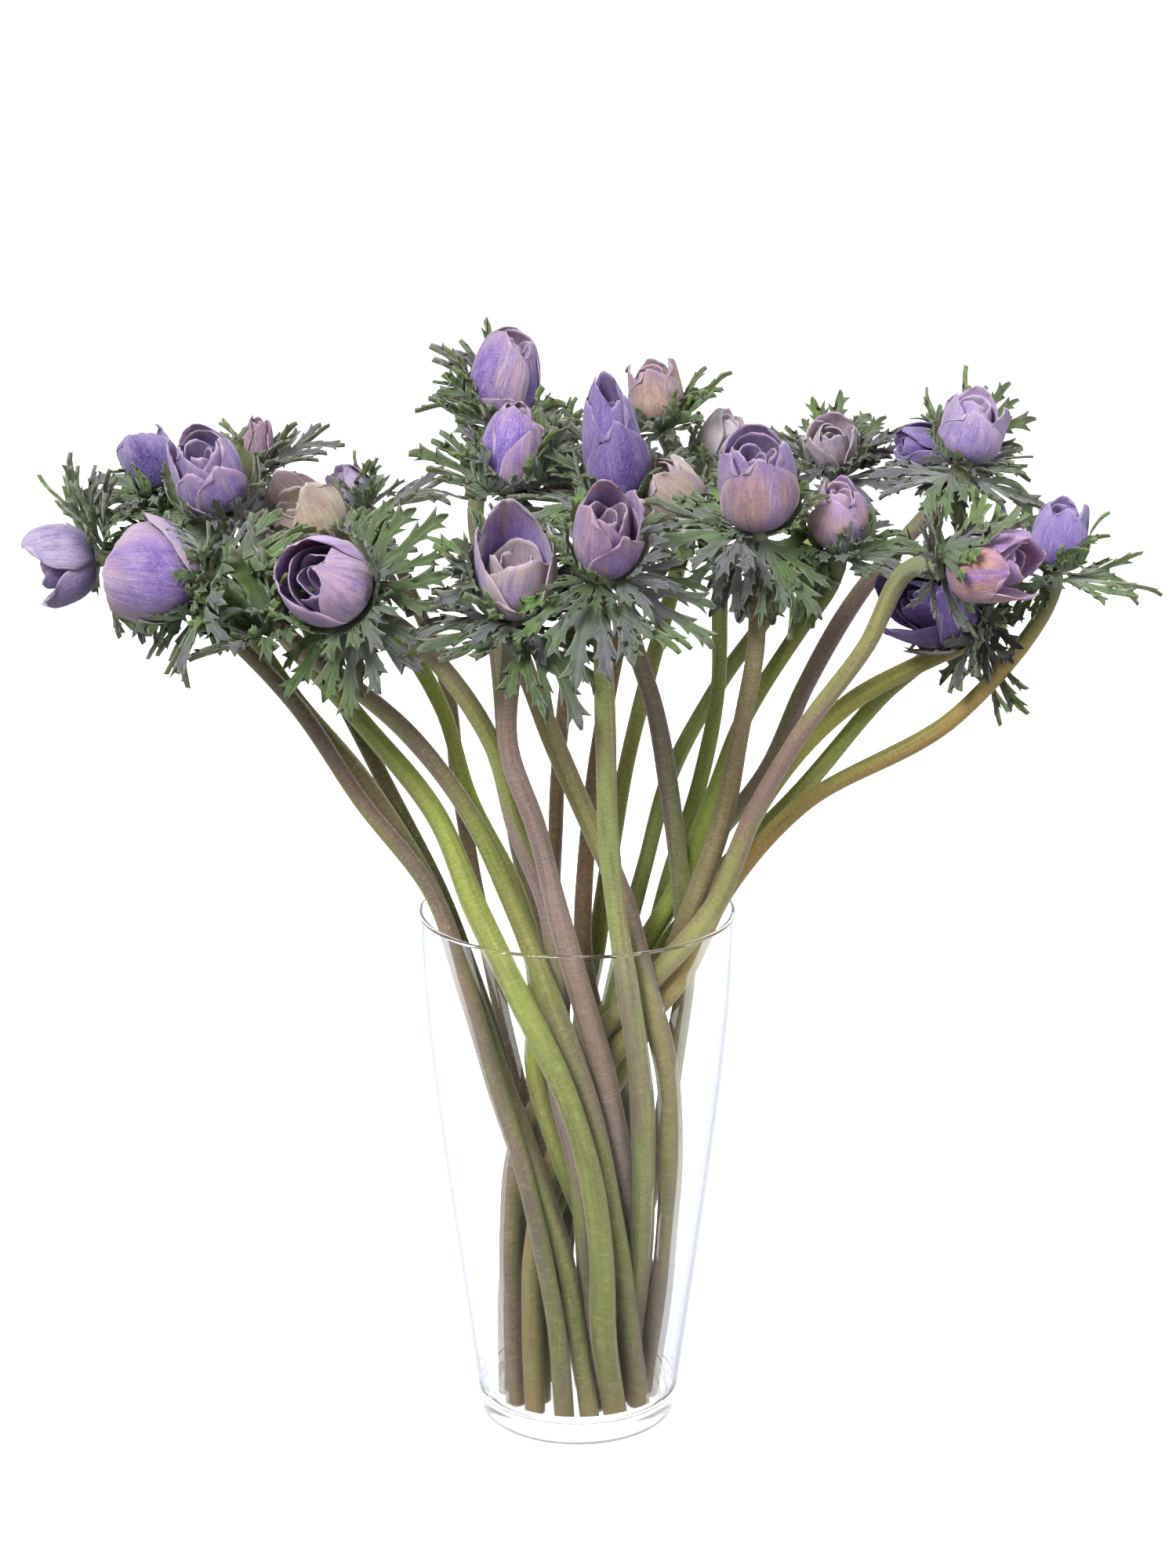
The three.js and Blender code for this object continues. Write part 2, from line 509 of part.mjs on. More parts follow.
// The bloom is one closed surface: the petals' faces run into a stepped heart, ring by ring.
function bloomGeometry(flower, number) {
  const points = [new THREE.Vector3(0, 0, FOOT_AIR), new THREE.Vector3(0, 0, HEART_TOP * flower.long)];
  const faces = [];
  const wide = PETAL_COLUMNS + 1;
  let below = null;
  for (const whorl of whorlsOf(flower, number)) {
    const low = [];
    const high = [];
    for (const petal of whorl) {
      const { outer, inner } = petalCorners(flower, petal);
      const rows = PETAL_ROWS[petal.whorl];
      const first = points.length;
      const second = first + outer.length;
      points.push(...outer, ...inner);
      const quad = (a, b, c, d) => faces.push([a, b, c], [a, c, d]);
      for (let row = 0; row < rows; row++) {
        const left = row * wide;
        const right = left + PETAL_COLUMNS;
        for (let a = left; a < right; a++) {
          quad(first + a, first + a + 1, first + a + wide + 1, first + a + wide);
          faces.push([second + a, second + a + wide + 1, second + a + 1]);
          faces.push([second + a, second + a + wide, second + a + wide + 1]);
        }
        quad(first + left, first + left + wide, second + left + wide, second + left);
        quad(first + right, second + right, second + right + wide, first + right + wide);
      }
      for (let a = rows * wide; a < rows * wide + PETAL_COLUMNS; a++) {
        quad(first + a, first + a + 1, second + a + 1, second + a);
      }
      for (let column = 0; column < wide; column++) {
        const angle = petal.angle + rad(CLAW_HALF_ANGLE) * ((2 * column) / PETAL_COLUMNS - 1);
        const turned = THREE.MathUtils.euclideanModulo(angle, 2 * Math.PI);
        low.push({ id: first + column, angle: turned, last: column === PETAL_COLUMNS });
        high.push({ id: second + column, angle: turned });
      }
    }
    low.sort((a, b) => a.angle - b.angle);
    high.sort((a, b) => a.angle - b.angle);
    low.forEach((corner, k) => {
      const next = (k + 1) % low.length;
      if (!corner.last) return;
      faces.push([corner.id, low[next].id, high[next].id], [corner.id, high[next].id, high[k].id]);
    });
    if (below) faces.push(...band(below, low));
    else low.forEach(({ id }, k) => faces.push([0, low[(k + 1) % low.length].id, id]));
    below = high;
  }
  below.forEach(({ id }, k) => faces.push([id, below[(k + 1) % below.length].id, 1]));
  const sway = [draw(number, SWAY_DRAW) - 0.5, draw(number, SWAY_DRAW + 1) - 0.5];
  for (const point of points) {
    const far = 2 * BLOOM_SWAYS * flower.long * Math.max(point.z / flower.long, 0) ** 2;
    point.x += sway[0] * far;
    point.y += sway[1] * far;
  }
  return geometryOf(points, faces);
}

// ---- Ruffs ----

function leafOutline(length) {
  const [stalk, half] = LEAF_STALK;
  const outline = [new THREE.Vector2(0, -LEAF_ROOT), new THREE.Vector2(stalk, -half)];
  const edge = LEAF_TEETH.flatMap((tooth, i) => (i ? [LEAF_CUTS[i - 1], tooth] : [tooth]));
  for (const [turn, far] of edge) {
    outline.push(new THREE.Vector2(far * Math.cos(rad(turn)), far * Math.sin(rad(turn))));
  }
  outline.push(new THREE.Vector2(stalk, half), new THREE.Vector2(0, LEAF_ROOT));
  return outline.map((point) => point.multiplyScalar(length));
}

// A point of a leaf in its bloom's axes. The leaf leaves the stem at its lift above the level, arches
// outwards and down, and waves from tooth to tooth.
function leafPoint(leaf, point, above) {
  const bend = -rad(LEAF_ARCH) / leaf.length;
  const lift = rad(leaf.lift);
  const end = lift + bend * point.x;
  const out = (Math.sin(end) - Math.sin(lift)) / bend;
  const up = (Math.cos(lift) - Math.cos(end)) / bend;
  const angle = Math.atan2(point.y, point.x + LEAF_START);
  const far = Math.min(point.length() / leaf.length, 1);
  const wave = LEAF_WAVE * leaf.length * far ** 2 * Math.sin(LEAF_WAVES * angle + leaf.phase) + above;
  const x = LEAF_START + out - wave * Math.sin(end);
  const z = -RUFF_DROP + up + wave * Math.cos(end);
  return new THREE.Vector3(x, point.y, z).applyAxisAngle(new THREE.Vector3(0, 0, 1), rad(leaf.turn));
}

function leafGeometry(leaf, thick) {
  const outline = leafOutline(leaf.length);
  const triangles = THREE.ShapeUtils.triangulateShape(outline, []);
  const front = outline.map((point) => leafPoint(leaf, point, thick / 2));
  const back = outline.map((point) => leafPoint(leaf, point, -thick / 2));
  return closedSheet(front, back, triangles, outline.map((_, i) => i));
}

// Every way that a leaf can stand, the fullest and freest first, and near its own lift first.
function leafWays(flower, number, index) {
  const home = flower.ruff + (360 / RUFF_LEAVES) * index;
  const phase = 2 * Math.PI * draw(number, WAVE_DRAW + index);
  const own = THREE.MathUtils.lerp(...FREE_LIFT, draw(number, LIFT_DRAW + index));
  const lifts = LEAF_LIFTS.toSorted((a, b) => Math.abs(a - own) - Math.abs(b - own));
  return LEAF_SIZES.flatMap((size) =>
    LEAF_TURNS.flatMap((turn) =>
      lifts.map((lift) => ({ length: size * flower.leaf, turn: home + turn, lift, phase })),
    ),
  );
}

function boxesMeet(a, b) {
  return [0, 1, 2].every((k) => a.min[k] < b.max[k] && b.min[k] < a.max[k]);
}

function isClear(solid, others) {
  const box = solid.boundingBox();
  return others.every((other) => !boxesMeet(box, other.boundingBox()) || solid.intersect(other).isEmpty());
}

// ---- The whole ----

const stemGreen = () => new THREE.MeshStandardMaterial({ color: 0x6d7a3c, roughness: 0.65, metalness: 0 });
const petalSilk = (color) => new THREE.MeshStandardMaterial({ color, roughness: 0.6, metalness: 0 });

const anemones = new THREE.Group();
anemones.add(vaseMesh());

const lines = FLOWERS.map(stemLine);
settle(lines);

const heads = FLOWERS.map(headMatrix);
const blooms = FLOWERS.map(bloomGeometry);
const placedBlooms = blooms.map((geometry, i) => solidOf(geometry.clone().applyMatrix4(heads[i])));
const stems = lines.map((line) => solidOf(stemGeometry(line)));
const vase = solidOf(anemones.children[0].geometry);

const leaves = FLOWERS.map(() => []);
FLOWERS.forEach((flower, number) => {
  for (let index = 0; index < RUFF_LEAVES; index++) {
    const others = [vase, ...placedBlooms, ...stems.filter((_, i) => i !== number)];
    others.push(...leaves.filter((_, i) => i !== number).flat());
    const place = (leaf, thick) => solidOf(leafGeometry(leaf, thick).applyMatrix4(heads[number]));
    const ways = leafWays(flower, number, index);
    const way = ways.find((leaf) => isClear(place(leaf, LEAF_THICK + 2 * LEAF_AIR), others));
    if (way) leaves[number].push(place(way, LEAF_THICK));
  }
});

FLOWERS.forEach((flower, number) => {
  const label = String(number + 1).padStart(2, '0');
  const stem = leaves[number].reduce((whole, leaf) => whole.add(leaf), stems[number]);
  anemones.add(meshOf('stem_' + label, stem, stemGreen()));
  const bloom = new THREE.Mesh(blooms[number], petalSilk(flower.tint));
  bloom.name = 'bloom_' + label;
  bloom.applyMatrix4(heads[number]);
  anemones.add(bloom);
});

export default anemones;
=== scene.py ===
"""A clear glass vase of cut anemones, finished over its CAD frame.

The glass, the hairy stems with their ruffs of cut leaves, and the cupped silky blooms are shaped in
millimetres in the frame that the CAD nodes share, and stand in metres.
"""

import math

import bpy
import numpy as np
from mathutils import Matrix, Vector


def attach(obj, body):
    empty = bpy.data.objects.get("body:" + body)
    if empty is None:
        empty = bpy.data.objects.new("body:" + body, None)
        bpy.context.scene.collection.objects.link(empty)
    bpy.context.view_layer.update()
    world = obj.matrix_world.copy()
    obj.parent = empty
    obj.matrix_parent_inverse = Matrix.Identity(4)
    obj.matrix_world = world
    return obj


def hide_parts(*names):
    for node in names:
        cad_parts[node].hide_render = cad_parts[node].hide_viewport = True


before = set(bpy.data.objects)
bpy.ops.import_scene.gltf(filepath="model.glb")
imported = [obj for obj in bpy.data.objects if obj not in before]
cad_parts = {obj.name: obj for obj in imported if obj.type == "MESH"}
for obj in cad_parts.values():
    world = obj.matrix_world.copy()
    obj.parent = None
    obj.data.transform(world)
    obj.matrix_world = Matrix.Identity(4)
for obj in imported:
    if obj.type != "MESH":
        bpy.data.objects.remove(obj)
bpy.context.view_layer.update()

MM = 0.001

# ---- Vase ----
VASE_HEIGHT = 250
RIM_RADIUS = 73
HEEL_RADIUS = 43
FLARE = 0.25  # how much of the wall's spread is gone before the rim
WALL = 3
FLOOR = 8
VASE_SIDES = 26  # of the CAD glass, which the stems were settled in
WALL_LEVELS = (12, 90, 170, 248)

# The finished glass is a little fuller at its foot than the CAD one.
GLASS_WALL = 2.4
GLASS_SIDES = 128
GLASS_HEEL = 46
HEEL_ROUND = 5.5
FLOOR_ROUND = 9.0
OUTSIDE_FOOT, INSIDE_FOOT, CORNER_FOOT = 8, 19, 17.0  # where the walls and the floor's corner start
PUNT = ((0, 3.4), (9, 3.3), (18, 2.8), (27, 1.8), (33, 0.8), (36.5, 0.2))  # the hollow underside
BASE_TOP, LIP_DEEP = 17, 1.4  # the glass is thick below the one, and for this far below the rim
PUNT_TOP, PUNT_EDGE = 3.5, 4  # the hollow is thin glass, up to this far inside the heel

# ---- The photo's camera ----
EYE = np.array([5.0, -1400.0, 683.0])
LENS = 73.0
SENSOR = 36
PITCH = 14.96  # degrees below level

# ---- Stems ----
STEM_RADIUS = 4.2
STEM_GAP = 0.8
NECK = 16
LEVEL = 42
LEAST_LEVEL = 14
SLICE = 9
HIGHEST_SLICE = 500
SETTLE_ROUNDS = 600
SETTLE_SHARE = 0.4
FOOT_AIR = 0.3
STEM_SIDES = 18
STEM_STEP = 4.5  # between two rings of a finished stem
# A finished stem's radius at its foot and what it loses, in shares of STEM_RADIUS times the flower's thick.
# The stems are settled with STEM_RADIUS alone, so the thicker finished ones cut into each other a little.
STEM_FOOT, STEM_TAPER = 1.12, 0.24
STEM_OVAL = 0.05
LONG_WAVE, SHORT_WAVE = (31, 0.05), (11, 0.03)  # how far apart it swells, and how much
RUFF_SWELL, RUFF_SWELL_LONG = 1.5, 5

# ---- Petals ----
PETAL_THICK = 0.45
CLAW_RADIUS = 4
CLAW_HEIGHT = 1.4
LAYER_STEP = 0.95  # how much narrower each next petal of a bloom is
LAYER_RISE = 0.35  # and how much higher it starts
BUD_PETALS = 6
GOLDEN_TURN = 137.5  # degrees from one petal to the next in a bud
TIP_ROUND = 0.13
LEAST_MOUTH = 1.0
LOW_BELLY = 1.35
HIGH_BELLY = 0.75
HIGH_MOUTH = 0.45
LOW_RISE, HIGH_RISE = 0.03, 0.7
BLOOM_SWAYS = 0.1
HEART_WIDE, HEART_TALL = 0.2, 0.3
HEART_START = 0.12
OUTER_PETALS, OUTER_HALF = 4, 68  # where a flower lists no outer petals
OUTER_ROUND, BUD_ROUND = 0.93, 0.75  # how much a petal narrows at its tip
BUD_SHAPE = (0.8, 0.9, 0.25)  # where a flower gives no bud: wide, tall and mouth
BUD_STEP = 0.13  # how much narrower each next petal of the bud is
BUD_HALF = 1.5
LEAST_BUD = 2.4
CLAW_WIDE, CLAW_GROWS = 0.42, 0.58  # in shares of a petal's width: its claw, and what the rest adds
PETAL_RIPPLE = 0.42
PETAL_ROLL = 0.45
PETAL_HOLLOW = 0.03

# ---- Ruffs ----
LEAF_THICK = 0.42
CAD_LEAF_THICK = 0.8
RUFF_LEAVES = 3
RUFF_DROP = 6
LEAF_START = 1
LEAF_ARCH = 42
LEAF_WAVE = 0.07
LEAF_WAVES = 7
LEAF_TEETH = ((-49, 0.76), (-35, 0.92), (-17, 0.86), (0, 1), (18, 0.88), (35, 0.9), (49, 0.74))
LEAF_SIZES = (1, 0.86, 0.72, 0.58)
LEAF_TURNS = (0, 12, -12, 24, -24, 36, -36)
LEAF_LIFTS = (60, 45, 30, 15, 0, -15, -30)
FREE_LIFT = (-8, 58)
SWAY_DRAW = 20
WAVE_DRAW = 40
LIFT_DRAW = 50
LEAF_FOLD, LEAF_CURL, LEAF_SWAY = 0.045, 0.17, 0.07  # in shares of its length
LEAF_AIR = 1.5  # between a leaf and its bloom
SMALL_TEETH = ((-40, 0.74), (-24, 0.95), (-8, 0.86), (9, 1), (25, 0.86), (40, 0.72))
MORE_LIFTS = (76, 30, -20, 62, 8, 70, 48)  # of the leaves that fill the gaps
MORE_DROP = 3.5  # of their roots below the bloom
COLLAR_LIFTS = (82, 60, 70, 30)
COLLAR_NOD, COLLAR_WIDE = 12, 9

# Each flower as it stands in the frame. A place is (across, up, depth): how far across and up the camera
# sees it on the plane through the vase's axis, and how far behind that plane it really is.
#   foot, route, at      where the stem stands on the vase's floor, its bends, and where the bloom starts
#   lean, nod            degrees that the bloom leans to the right and nods to the front
#   long, wide, mouth    the bloom's size, and its mouth in shares of its width
#   turn, ruff           degrees that its petals and its three leaves are turned by
#   leaf, thick          how long the leaves are, and the stem's thickness in shares of STEM_RADIUS
#   petal, cane          the petals' main, second, deep and rim colours, and the stem's two
# These only some flowers have. The first four are the finished flower's departures from the CAD one:
#   moved, leaned        how far across, up and back it stands, and its own lean and nod
#   grown, shorter       how much larger the bloom is, and shares of the three leaves' lengths
#   opening              the outer petals' mouth, where it isn't the CAD bloom's
#   shoulder, blunt      how high the bloom's fullest part is, and how much its outer petals narrow at the tip
#   bud, bud_tone        the petals folded up inside: their width, height and mouth, and their second colour
#   outer                each outer petal's turn, half width in degrees, reach, stand, hem and second colour
#   more                 each extra leaf's turn, lift, and length in shares of leaf
#   collar               leaves round the neck: their place, lean, length and count
# A moved bloom isn't settled again, so it can cut into a neighbour. Bloom 18, moved furthest, cuts into 12.
FLOWERS = [
    dict(
        foot=(-6, -32), at=(-219, 410, 20), lean=-98, nod=8, long=34, wide=34, mouth=0.95, turn=20, leaf=52,
        ruff=-10, thick=0.95,
        moved=(5, 3), bud=(0.7, 0.8, 0.4), bud_tone=-0.1,
        route=((-10, 40, -33), (-22, 110, -33), (-37, 160, -30), (-66, 240, -16), (-100, 303, 0),
               (-140, 362, 12), (-178, 394, 18)),
        outer=((325, 58, 0.95, 1, 1, 0.22), (215, 60, 0.78, 0.2, 0.5, 0), (165, 46, 0.86, 1.5, 0.6, 0.1),
               (80, 66, 0.8, 0.5, 0.5, 0)),
        more=((0, 16, 0.8), (24, 36, 0.9), (338, 0, 0.8), (180, 6, 0.8), (204, -14, 0.7), (270, -30, 0.5),
              (90, 30, 0.8)),
        petal=("8f7ab6", "bdaec8", "463682", "cfc3dc"), cane=("76803c", "6f5f55"),
    ),
    dict(
        foot=(29, -17), at=(-173, 403, -55), lean=-72, nod=25, long=47, wide=42, mouth=0.5, turn=95,
        leaf=52, ruff=0, thick=1.1,
        moved=(3, 0), opening=0.85, blunt=0.75, bud=(0.7, 0.58, 0.3),
        collar=((-138, 382, -56), -22, 50, 10),
        route=((22, 60, -20), (14, 115, -27), (3, 160, -33), (-24, 240, -35), (-65, 320, -40),
               (-110, 360, -47), (-140, 384, -51)),
        outer=((358, 66, 0.68, 3.2, 1, 0), (286, 90, 1.0, 0, 0.2, 0), (180, 56, 0.66, 0.3, 0.3, 0),
               (90, 74, 0.56, 0, 0, 0)),
        petal=("9179b2", "bfabb0", "5a4492", "c4b2cb"), cane=("808a3e", "7a6a58"),
    ),
    dict(
        foot=(6, -33), at=(-183, 440, 42), lean=-45, nod=0, long=30, wide=26, mouth=0.4, turn=50, leaf=43,
        ruff=30, thick=1,
        moved=(0, 4), leaned=(-22, 0), opening=0.72, shoulder=0.84, bud_tone=0.1,
        collar=((-180, 424, 36), -20, 40, 5),
        route=((-2, 50, -27), (-17, 110, -22), (-33, 160, -18), (-60, 240, -4), (-85, 293, 12),
               (-128, 350, 28), (-158, 398, 38)),
        outer=((262, 90, 1.0, 0, 0.4, 0.04), (20, 64, 0.95, 0.5, 0.3, 0.1), (130, 64, 0.95, 0.3, 0.3, 0)),
        petal=("504080", "a094b8", "2f2358", "a99ac4"), cane=("75803a", "665843"),
    ),
    dict(
        foot=(18, -28), at=(-160, 430, -5), lean=-5, nod=25, long=42, wide=38, mouth=0.8, turn=0, leaf=54,
        ruff=0, thick=1.25,
        moved=(0, 6), opening=0.66, shoulder=0.82, bud=(0.8, 0.86, 0.4),
        route=((12, 40, -33), (10, 95, -40), (-6, 160, -44), (-43, 240, -37), (-62, 290, -28),
               (-95, 335, -18), (-133, 378, -9)),
        outer=((236, 24, 0.42, 1, 0.3, 0.2), (298, 46, 0.76, 0.5, 0.4, 0), (250, 42, 0.72, 0.3, 0.3, 0.05),
               (188, 46, 0.97, 0.8, 0.5, 0), (345, 46, 0.92, 0.6, 0.5, 0), (90, 62, 1.0, 0.4, 0.4, 0),
               (225, 40, 0.85, 0.2, 0.3, 0)),
        petal=("a085cc", "c3a9c0", "6a54ac", "dccad8"), cane=("93a046", "7f8a3c"),
    ),
    dict(
        foot=(10, -9), at=(-142, 455, 62), lean=0, nod=5, long=24, wide=17, mouth=0.3, turn=30, leaf=45,
        ruff=0, thick=0.9,
        route=((-8, 90, -8), (-31, 160, -5), (-57, 240, 7), (-75, 285, 18), (-97, 328, 34), (-122, 385, 52)),
        petal=("a98496", "9f8390", "735a80", "cfb8c2"), cane=("4f5a26", "4a4425"),
    ),
    dict(
        foot=(20, -14), at=(-113, 425, 8), lean=-25, nod=15, long=34, wide=33, mouth=1, turn=10, leaf=48,
        ruff=60, thick=1,
        moved=(-2, -9), grown=1.14, bud=(0.7, 0.8, 0.5),
        route=((6, 80, -15), (-16, 160, -14), (-22, 240, -10), (-50, 305, 0), (-65, 355, 3), (-85, 390, 5)),
        outer=((312, 56, 0.98, 0.3, 0.6, -0.15), (222, 50, 0.9, 1.2, 1.4, 0.5), (170, 46, 0.84, 2, 2, 0.5),
               (90, 62, 0.96, 0.5, 0.8, 0.1)),
        petal=("cdbd9c", "9a8791", "84707c", "ddd2bd"), cane=("92a038", "7d8a34"),
    ),
    dict(
        foot=(3, 1), at=(-95, 437, 72), lean=-35, nod=0, long=22, wide=20, mouth=0.5, turn=80, leaf=48,
        ruff=0, thick=0.9,
        route=((-10, 90, 6), (-20, 130, 10), (-27, 160, 9), (-43, 240, 22), (-53, 300, 40), (-60, 360, 58)),
        petal=("b9a3d0", "cfc0da", "8a77b4", "d6cae0"), cane=("7d6c52", "6d5a48"),
    ),
    dict(
        foot=(8, -21), at=(-107, 398, -66), lean=-40, nod=55, long=42, wide=42, mouth=0.6, turn=60, leaf=54,
        ruff=0, thick=1.1,
        moved=(3, 0), bud=(0.78, 0.82, 0.3), bud_tone=0,
        route=((4, 80, -22), (-8, 160, -27), (-12, 240, -34), (-27, 285, -46), (-46, 345, -60),
               (-70, 372, -64)),
        outer=((308, 72, 1.0, -5, -1, 0.35), (180, 76, 0.97, 0.3, 0.2, 0), (60, 76, 1.0, 0.3, 0.2, 0)),
        petal=("a687c6", "cbafc6", "54389a", "d8bcd4"), cane=("8a964a", "8d7478"),
    ),
    dict(
        foot=(24, 17), at=(-35, 482, 56), lean=15, nod=10, long=37, wide=34, mouth=0.6, turn=15, leaf=56,
        ruff=60, thick=1.05,
        moved=(0, -6), grown=1.14, shorter=(1, 0.7, 1), opening=0.42, shoulder=0.84, bud=(0.88, 0.95, 0.3),
        route=((27, 90, 22), (22, 160, 30), (-16, 240, 42), (-30, 300, 46), (-36, 375, 50), (-45, 440, 54)),
        outer=((276, 60, 0.44, 0.6, 0.3, 0.1), (222, 76, 1.0, 0, 0.2, 0.06), (110, 70, 1.0, 0.4, 0.3, 0),
               (350, 62, 0.92, 0.3, 0.4, 0.05)),
        more=((180, 66, 0.8), (150, 56, 0.9), (205, 50, 0.7), (350, 60, 0.55), (250, 0, 0.4), (60, 50, 0.6)),
        petal=("8066b2", "b39ca8", "4c3886", "d2c0d6"), cane=("857867", "76835a"),
    ),
    dict(
        foot=(33, -4), at=(-29, 445, 2), lean=0, nod=15, long=38, wide=33, mouth=0.55, turn=70, leaf=50,
        ruff=60, thick=1.2,
        grown=1.05, opening=0.3, shoulder=0.84, bud=(0.86, 0.9, 0.3), bud_tone=0.1,
        route=((40, 60, -10), (43, 160, -20), (26, 240, -23), (15, 270, -20), (-8, 322, -14), (-30, 390, -4)),
        outer=((318, 62, 0.8, 0.4, 0.6, 0.2), (240, 78, 1.0, 0, 0, 0), (160, 62, 0.97, 0.6, 0.3, 0.3),
               (50, 70, 1.0, 0.3, 0.3, 0.2)),
        more=((178, 80, 0.85), (8, 82, 0.95), (212, 72, 0.75), (350, 70, 0.8), (285, 34, 0.4),
              (240, 46, 0.42), (100, 60, 0.8), (30, 72, 0.9)),
        petal=("846ab8", "bca0b8", "48368a", "d8c4d6"), cane=("8a8552", "7c6a60"),
    ),
    dict(
        foot=(32, 8), at=(-28, 388, -74), lean=3, nod=20, long=52, wide=38, mouth=0.65, turn=90, leaf=54,
        ruff=200, thick=1.2,
        shoulder=0.74, bud=(0.95, 0.68, 0.35), bud_tone=0.25,
        route=((30, 70, -4), (14, 160, -24), (-7, 240, -43), (-25, 312, -60), (-38, 350, -68)),
        outer=((250, 42, 0.4, 0.2, 0.3, 0.2), (8, 54, 0.82, 1, 0.6, 0.5), (182, 50, 0.8, 0.6, 0.3, 0),
               (92, 84, 1.0, 0, -1, 0)),
        more=((180, 74, 0.95), (200, 56, 0.9), (350, 66, 0.7), (10, 40, 0.8), (235, 30, 0.7),
              (150, 70, 1.0), (300, 8, 0.5), (60, 60, 0.8)),
        petal=("9a80c6", "ccb9b4", "644e9c", "d8c4d4"), cane=("8f7a76", "857061"),
    ),
    dict(
        foot=(14, 3), at=(22, 438, -14), lean=-5, nod=10, long=60, wide=34, mouth=0.35, turn=100, leaf=48,
        ruff=60, thick=1.1,
        moved=(-3, 0), opening=0.22, bud=(0.9, 0.84, 0.25),
        route=((30, 90, 2), (43, 160, 1), (48, 240, -6), (49, 285, -7), (35, 345, -9), (24, 390, -12)),
        outer=((292, 66, 0.72, 0.3, 0.4, 0), (206, 68, 0.97, 0, 0, 0), (352, 52, 0.84, 1, 0.8, 0.1),
               (60, 66, 1.0, 1.5, 0.6, 0)),
        more=((185, 76, 0.8), (160, 66, 0.9), (10, 78, 0.7), (335, 50, 0.5), (215, 64, 0.6), (270, 30, 0.4)),
        petal=("6a5098", "8c78ac", "3e2a76", "b8a6c2"), cane=("8a7672", "7f8550"),
    ),
    dict(
        foot=(12, 16), at=(38, 474, 84), lean=-15, nod=5, long=32, wide=28, mouth=0.6, turn=40, leaf=41,
        ruff=0, thick=1,
        route=((12, 90, 18), (12, 160, 22), (3, 240, 32), (8, 310, 52), (22, 390, 74)),
        outer=((265, 62, 0.92, 0.3, 1.2, 0), (340, 54, 0.95, 1, 2, 0), (190, 54, 1.0, 1.5, 2, 0.1),
               (90, 62, 0.95, 0.5, 1, 0)),
        more=((185, 40, 0.6), (220, 60, 0.6), (10, 50, 0.8), (335, 62, 0.7), (270, 20, 0.7), (100, 50, 0.6)),
        petal=("c4a68e", "a38cb8", "86685e", "dccabe"), cane=("7a6146", "6d5a40"),
    ),
    dict(
        foot=(24, 2), at=(14, 405, -84), lean=5, nod=30, long=46, wide=32, mouth=0.7, turn=25, leaf=54,
        ruff=340, thick=1.1,
        moved=(-2, 3), opening=0.45, shoulder=0.76, bud=(0.9, 0.8, 0.35), bud_tone=0.05,
        route=((30, 80, -14), (30, 160, -28), (19, 240, -44), (14, 290, -58), (13, 350, -74)),
        outer=((302, 56, 0.66, 0.8, 1.2, 0), (214, 64, 0.86, 0.2, 0.3, 0.12), (22, 50, 0.88, 3.5, 3, 0),
               (100, 62, 1.0, 0.5, 0.2, 0)),
        more=((180, 72, 0.7), (215, 60, 0.6), (5, 66, 0.8), (335, 30, 0.7), (270, -10, 0.5), (240, 20, 0.6)),
        petal=("9676bc", "b5929c", "5c4290", "d4bcd0"), cane=("8f9a58", "857a62"),
    ),
    dict(
        foot=(2, 15), at=(-8, 462, 62), lean=-30, nod=0, long=22, wide=18, mouth=0.4, turn=0, leaf=37,
        ruff=30, thick=0.85,
        route=((-12, 90, 26), (-20, 160, 34), (-12, 240, 55), (-8, 325, 60), (0, 400, 60)),
        petal=("6d5cae", "8f82c4", "47388a", "9b8cc8"), cane=("7f6a4e", "6f5c46"),
    ),
    dict(
        foot=(-10, 27), at=(58, 455, 96), lean=25, nod=5, long=30, wide=24, mouth=0.6, turn=65, leaf=41,
        ruff=0, thick=0.95,
        route=((-6, 90, 34), (2, 160, 41), (10, 240, 50), (26, 335, 70), (42, 395, 82)),
        petal=("ecd9d8", "f2eaec", "b8a4be", "f4eef0"), cane=("8f9c44", "7f8a40"),
    ),
    dict(
        foot=(-33, -4), at=(80, 428, -54), lean=0, nod=25, long=44, wide=38, mouth=0.6, turn=5, leaf=52,
        ruff=330, thick=1.1,
        moved=(0, 1), opening=0.5, shoulder=0.82, bud=(0.88, 0.86, 0.3), bud_tone=0.4,
        route=((-32, 70, 0), (-24, 120, 1), (-4, 160, 6), (51, 240, -9), (66, 290, -26), (76, 345, -42),
               (82, 390, -50)),
        outer=((276, 65, 0.87, 0.4, 0.2, -0.06), (338, 52, 0.94, 1.2, 0.8, 0.25),
               (204, 56, 0.84, 1.4, 0.8, 0.2), (92, 84, 1.0, 0.8, 0.6, 0.5)),
        more=((270, -34, 0.85), (238, -18, 0.8), (302, -24, 0.85), (180, 30, 0.45), (4, 54, 0.7),
              (212, 40, 0.4), (330, 50, 0.5), (90, 50, 0.8)),
        petal=("ba9482", "9078ae", "644c84", "d4c0ca"), cane=("7a6848", "7e7450"),
    ),
    dict(
        foot=(2, 29), at=(60, 440, 24), lean=-40, nod=10, long=26, wide=24, mouth=1, turn=35, leaf=39,
        ruff=120, thick=0.95,
        moved=(-9, -7, -36), grown=1.25, opening=0.75, bud=(0.88, 0.9, 0.5),
        route=((12, 90, 34), (24, 160, 38), (36, 240, 33), (56, 310, 26), (66, 370, 22)),
        outer=((285, 50, 0.9, 2.5, 1.5, 0), (225, 46, 0.8, 3, 2, 0), (345, 52, 0.86, 1.5, 1, 0.1),
               (150, 56, 0.96, 1, 1, 0.1)),
        more=((180, 30, 0.6), (90, 40, 0.7), (30, 40, 0.6), (240, -20, 0.5), (300, -20, 0.5)),
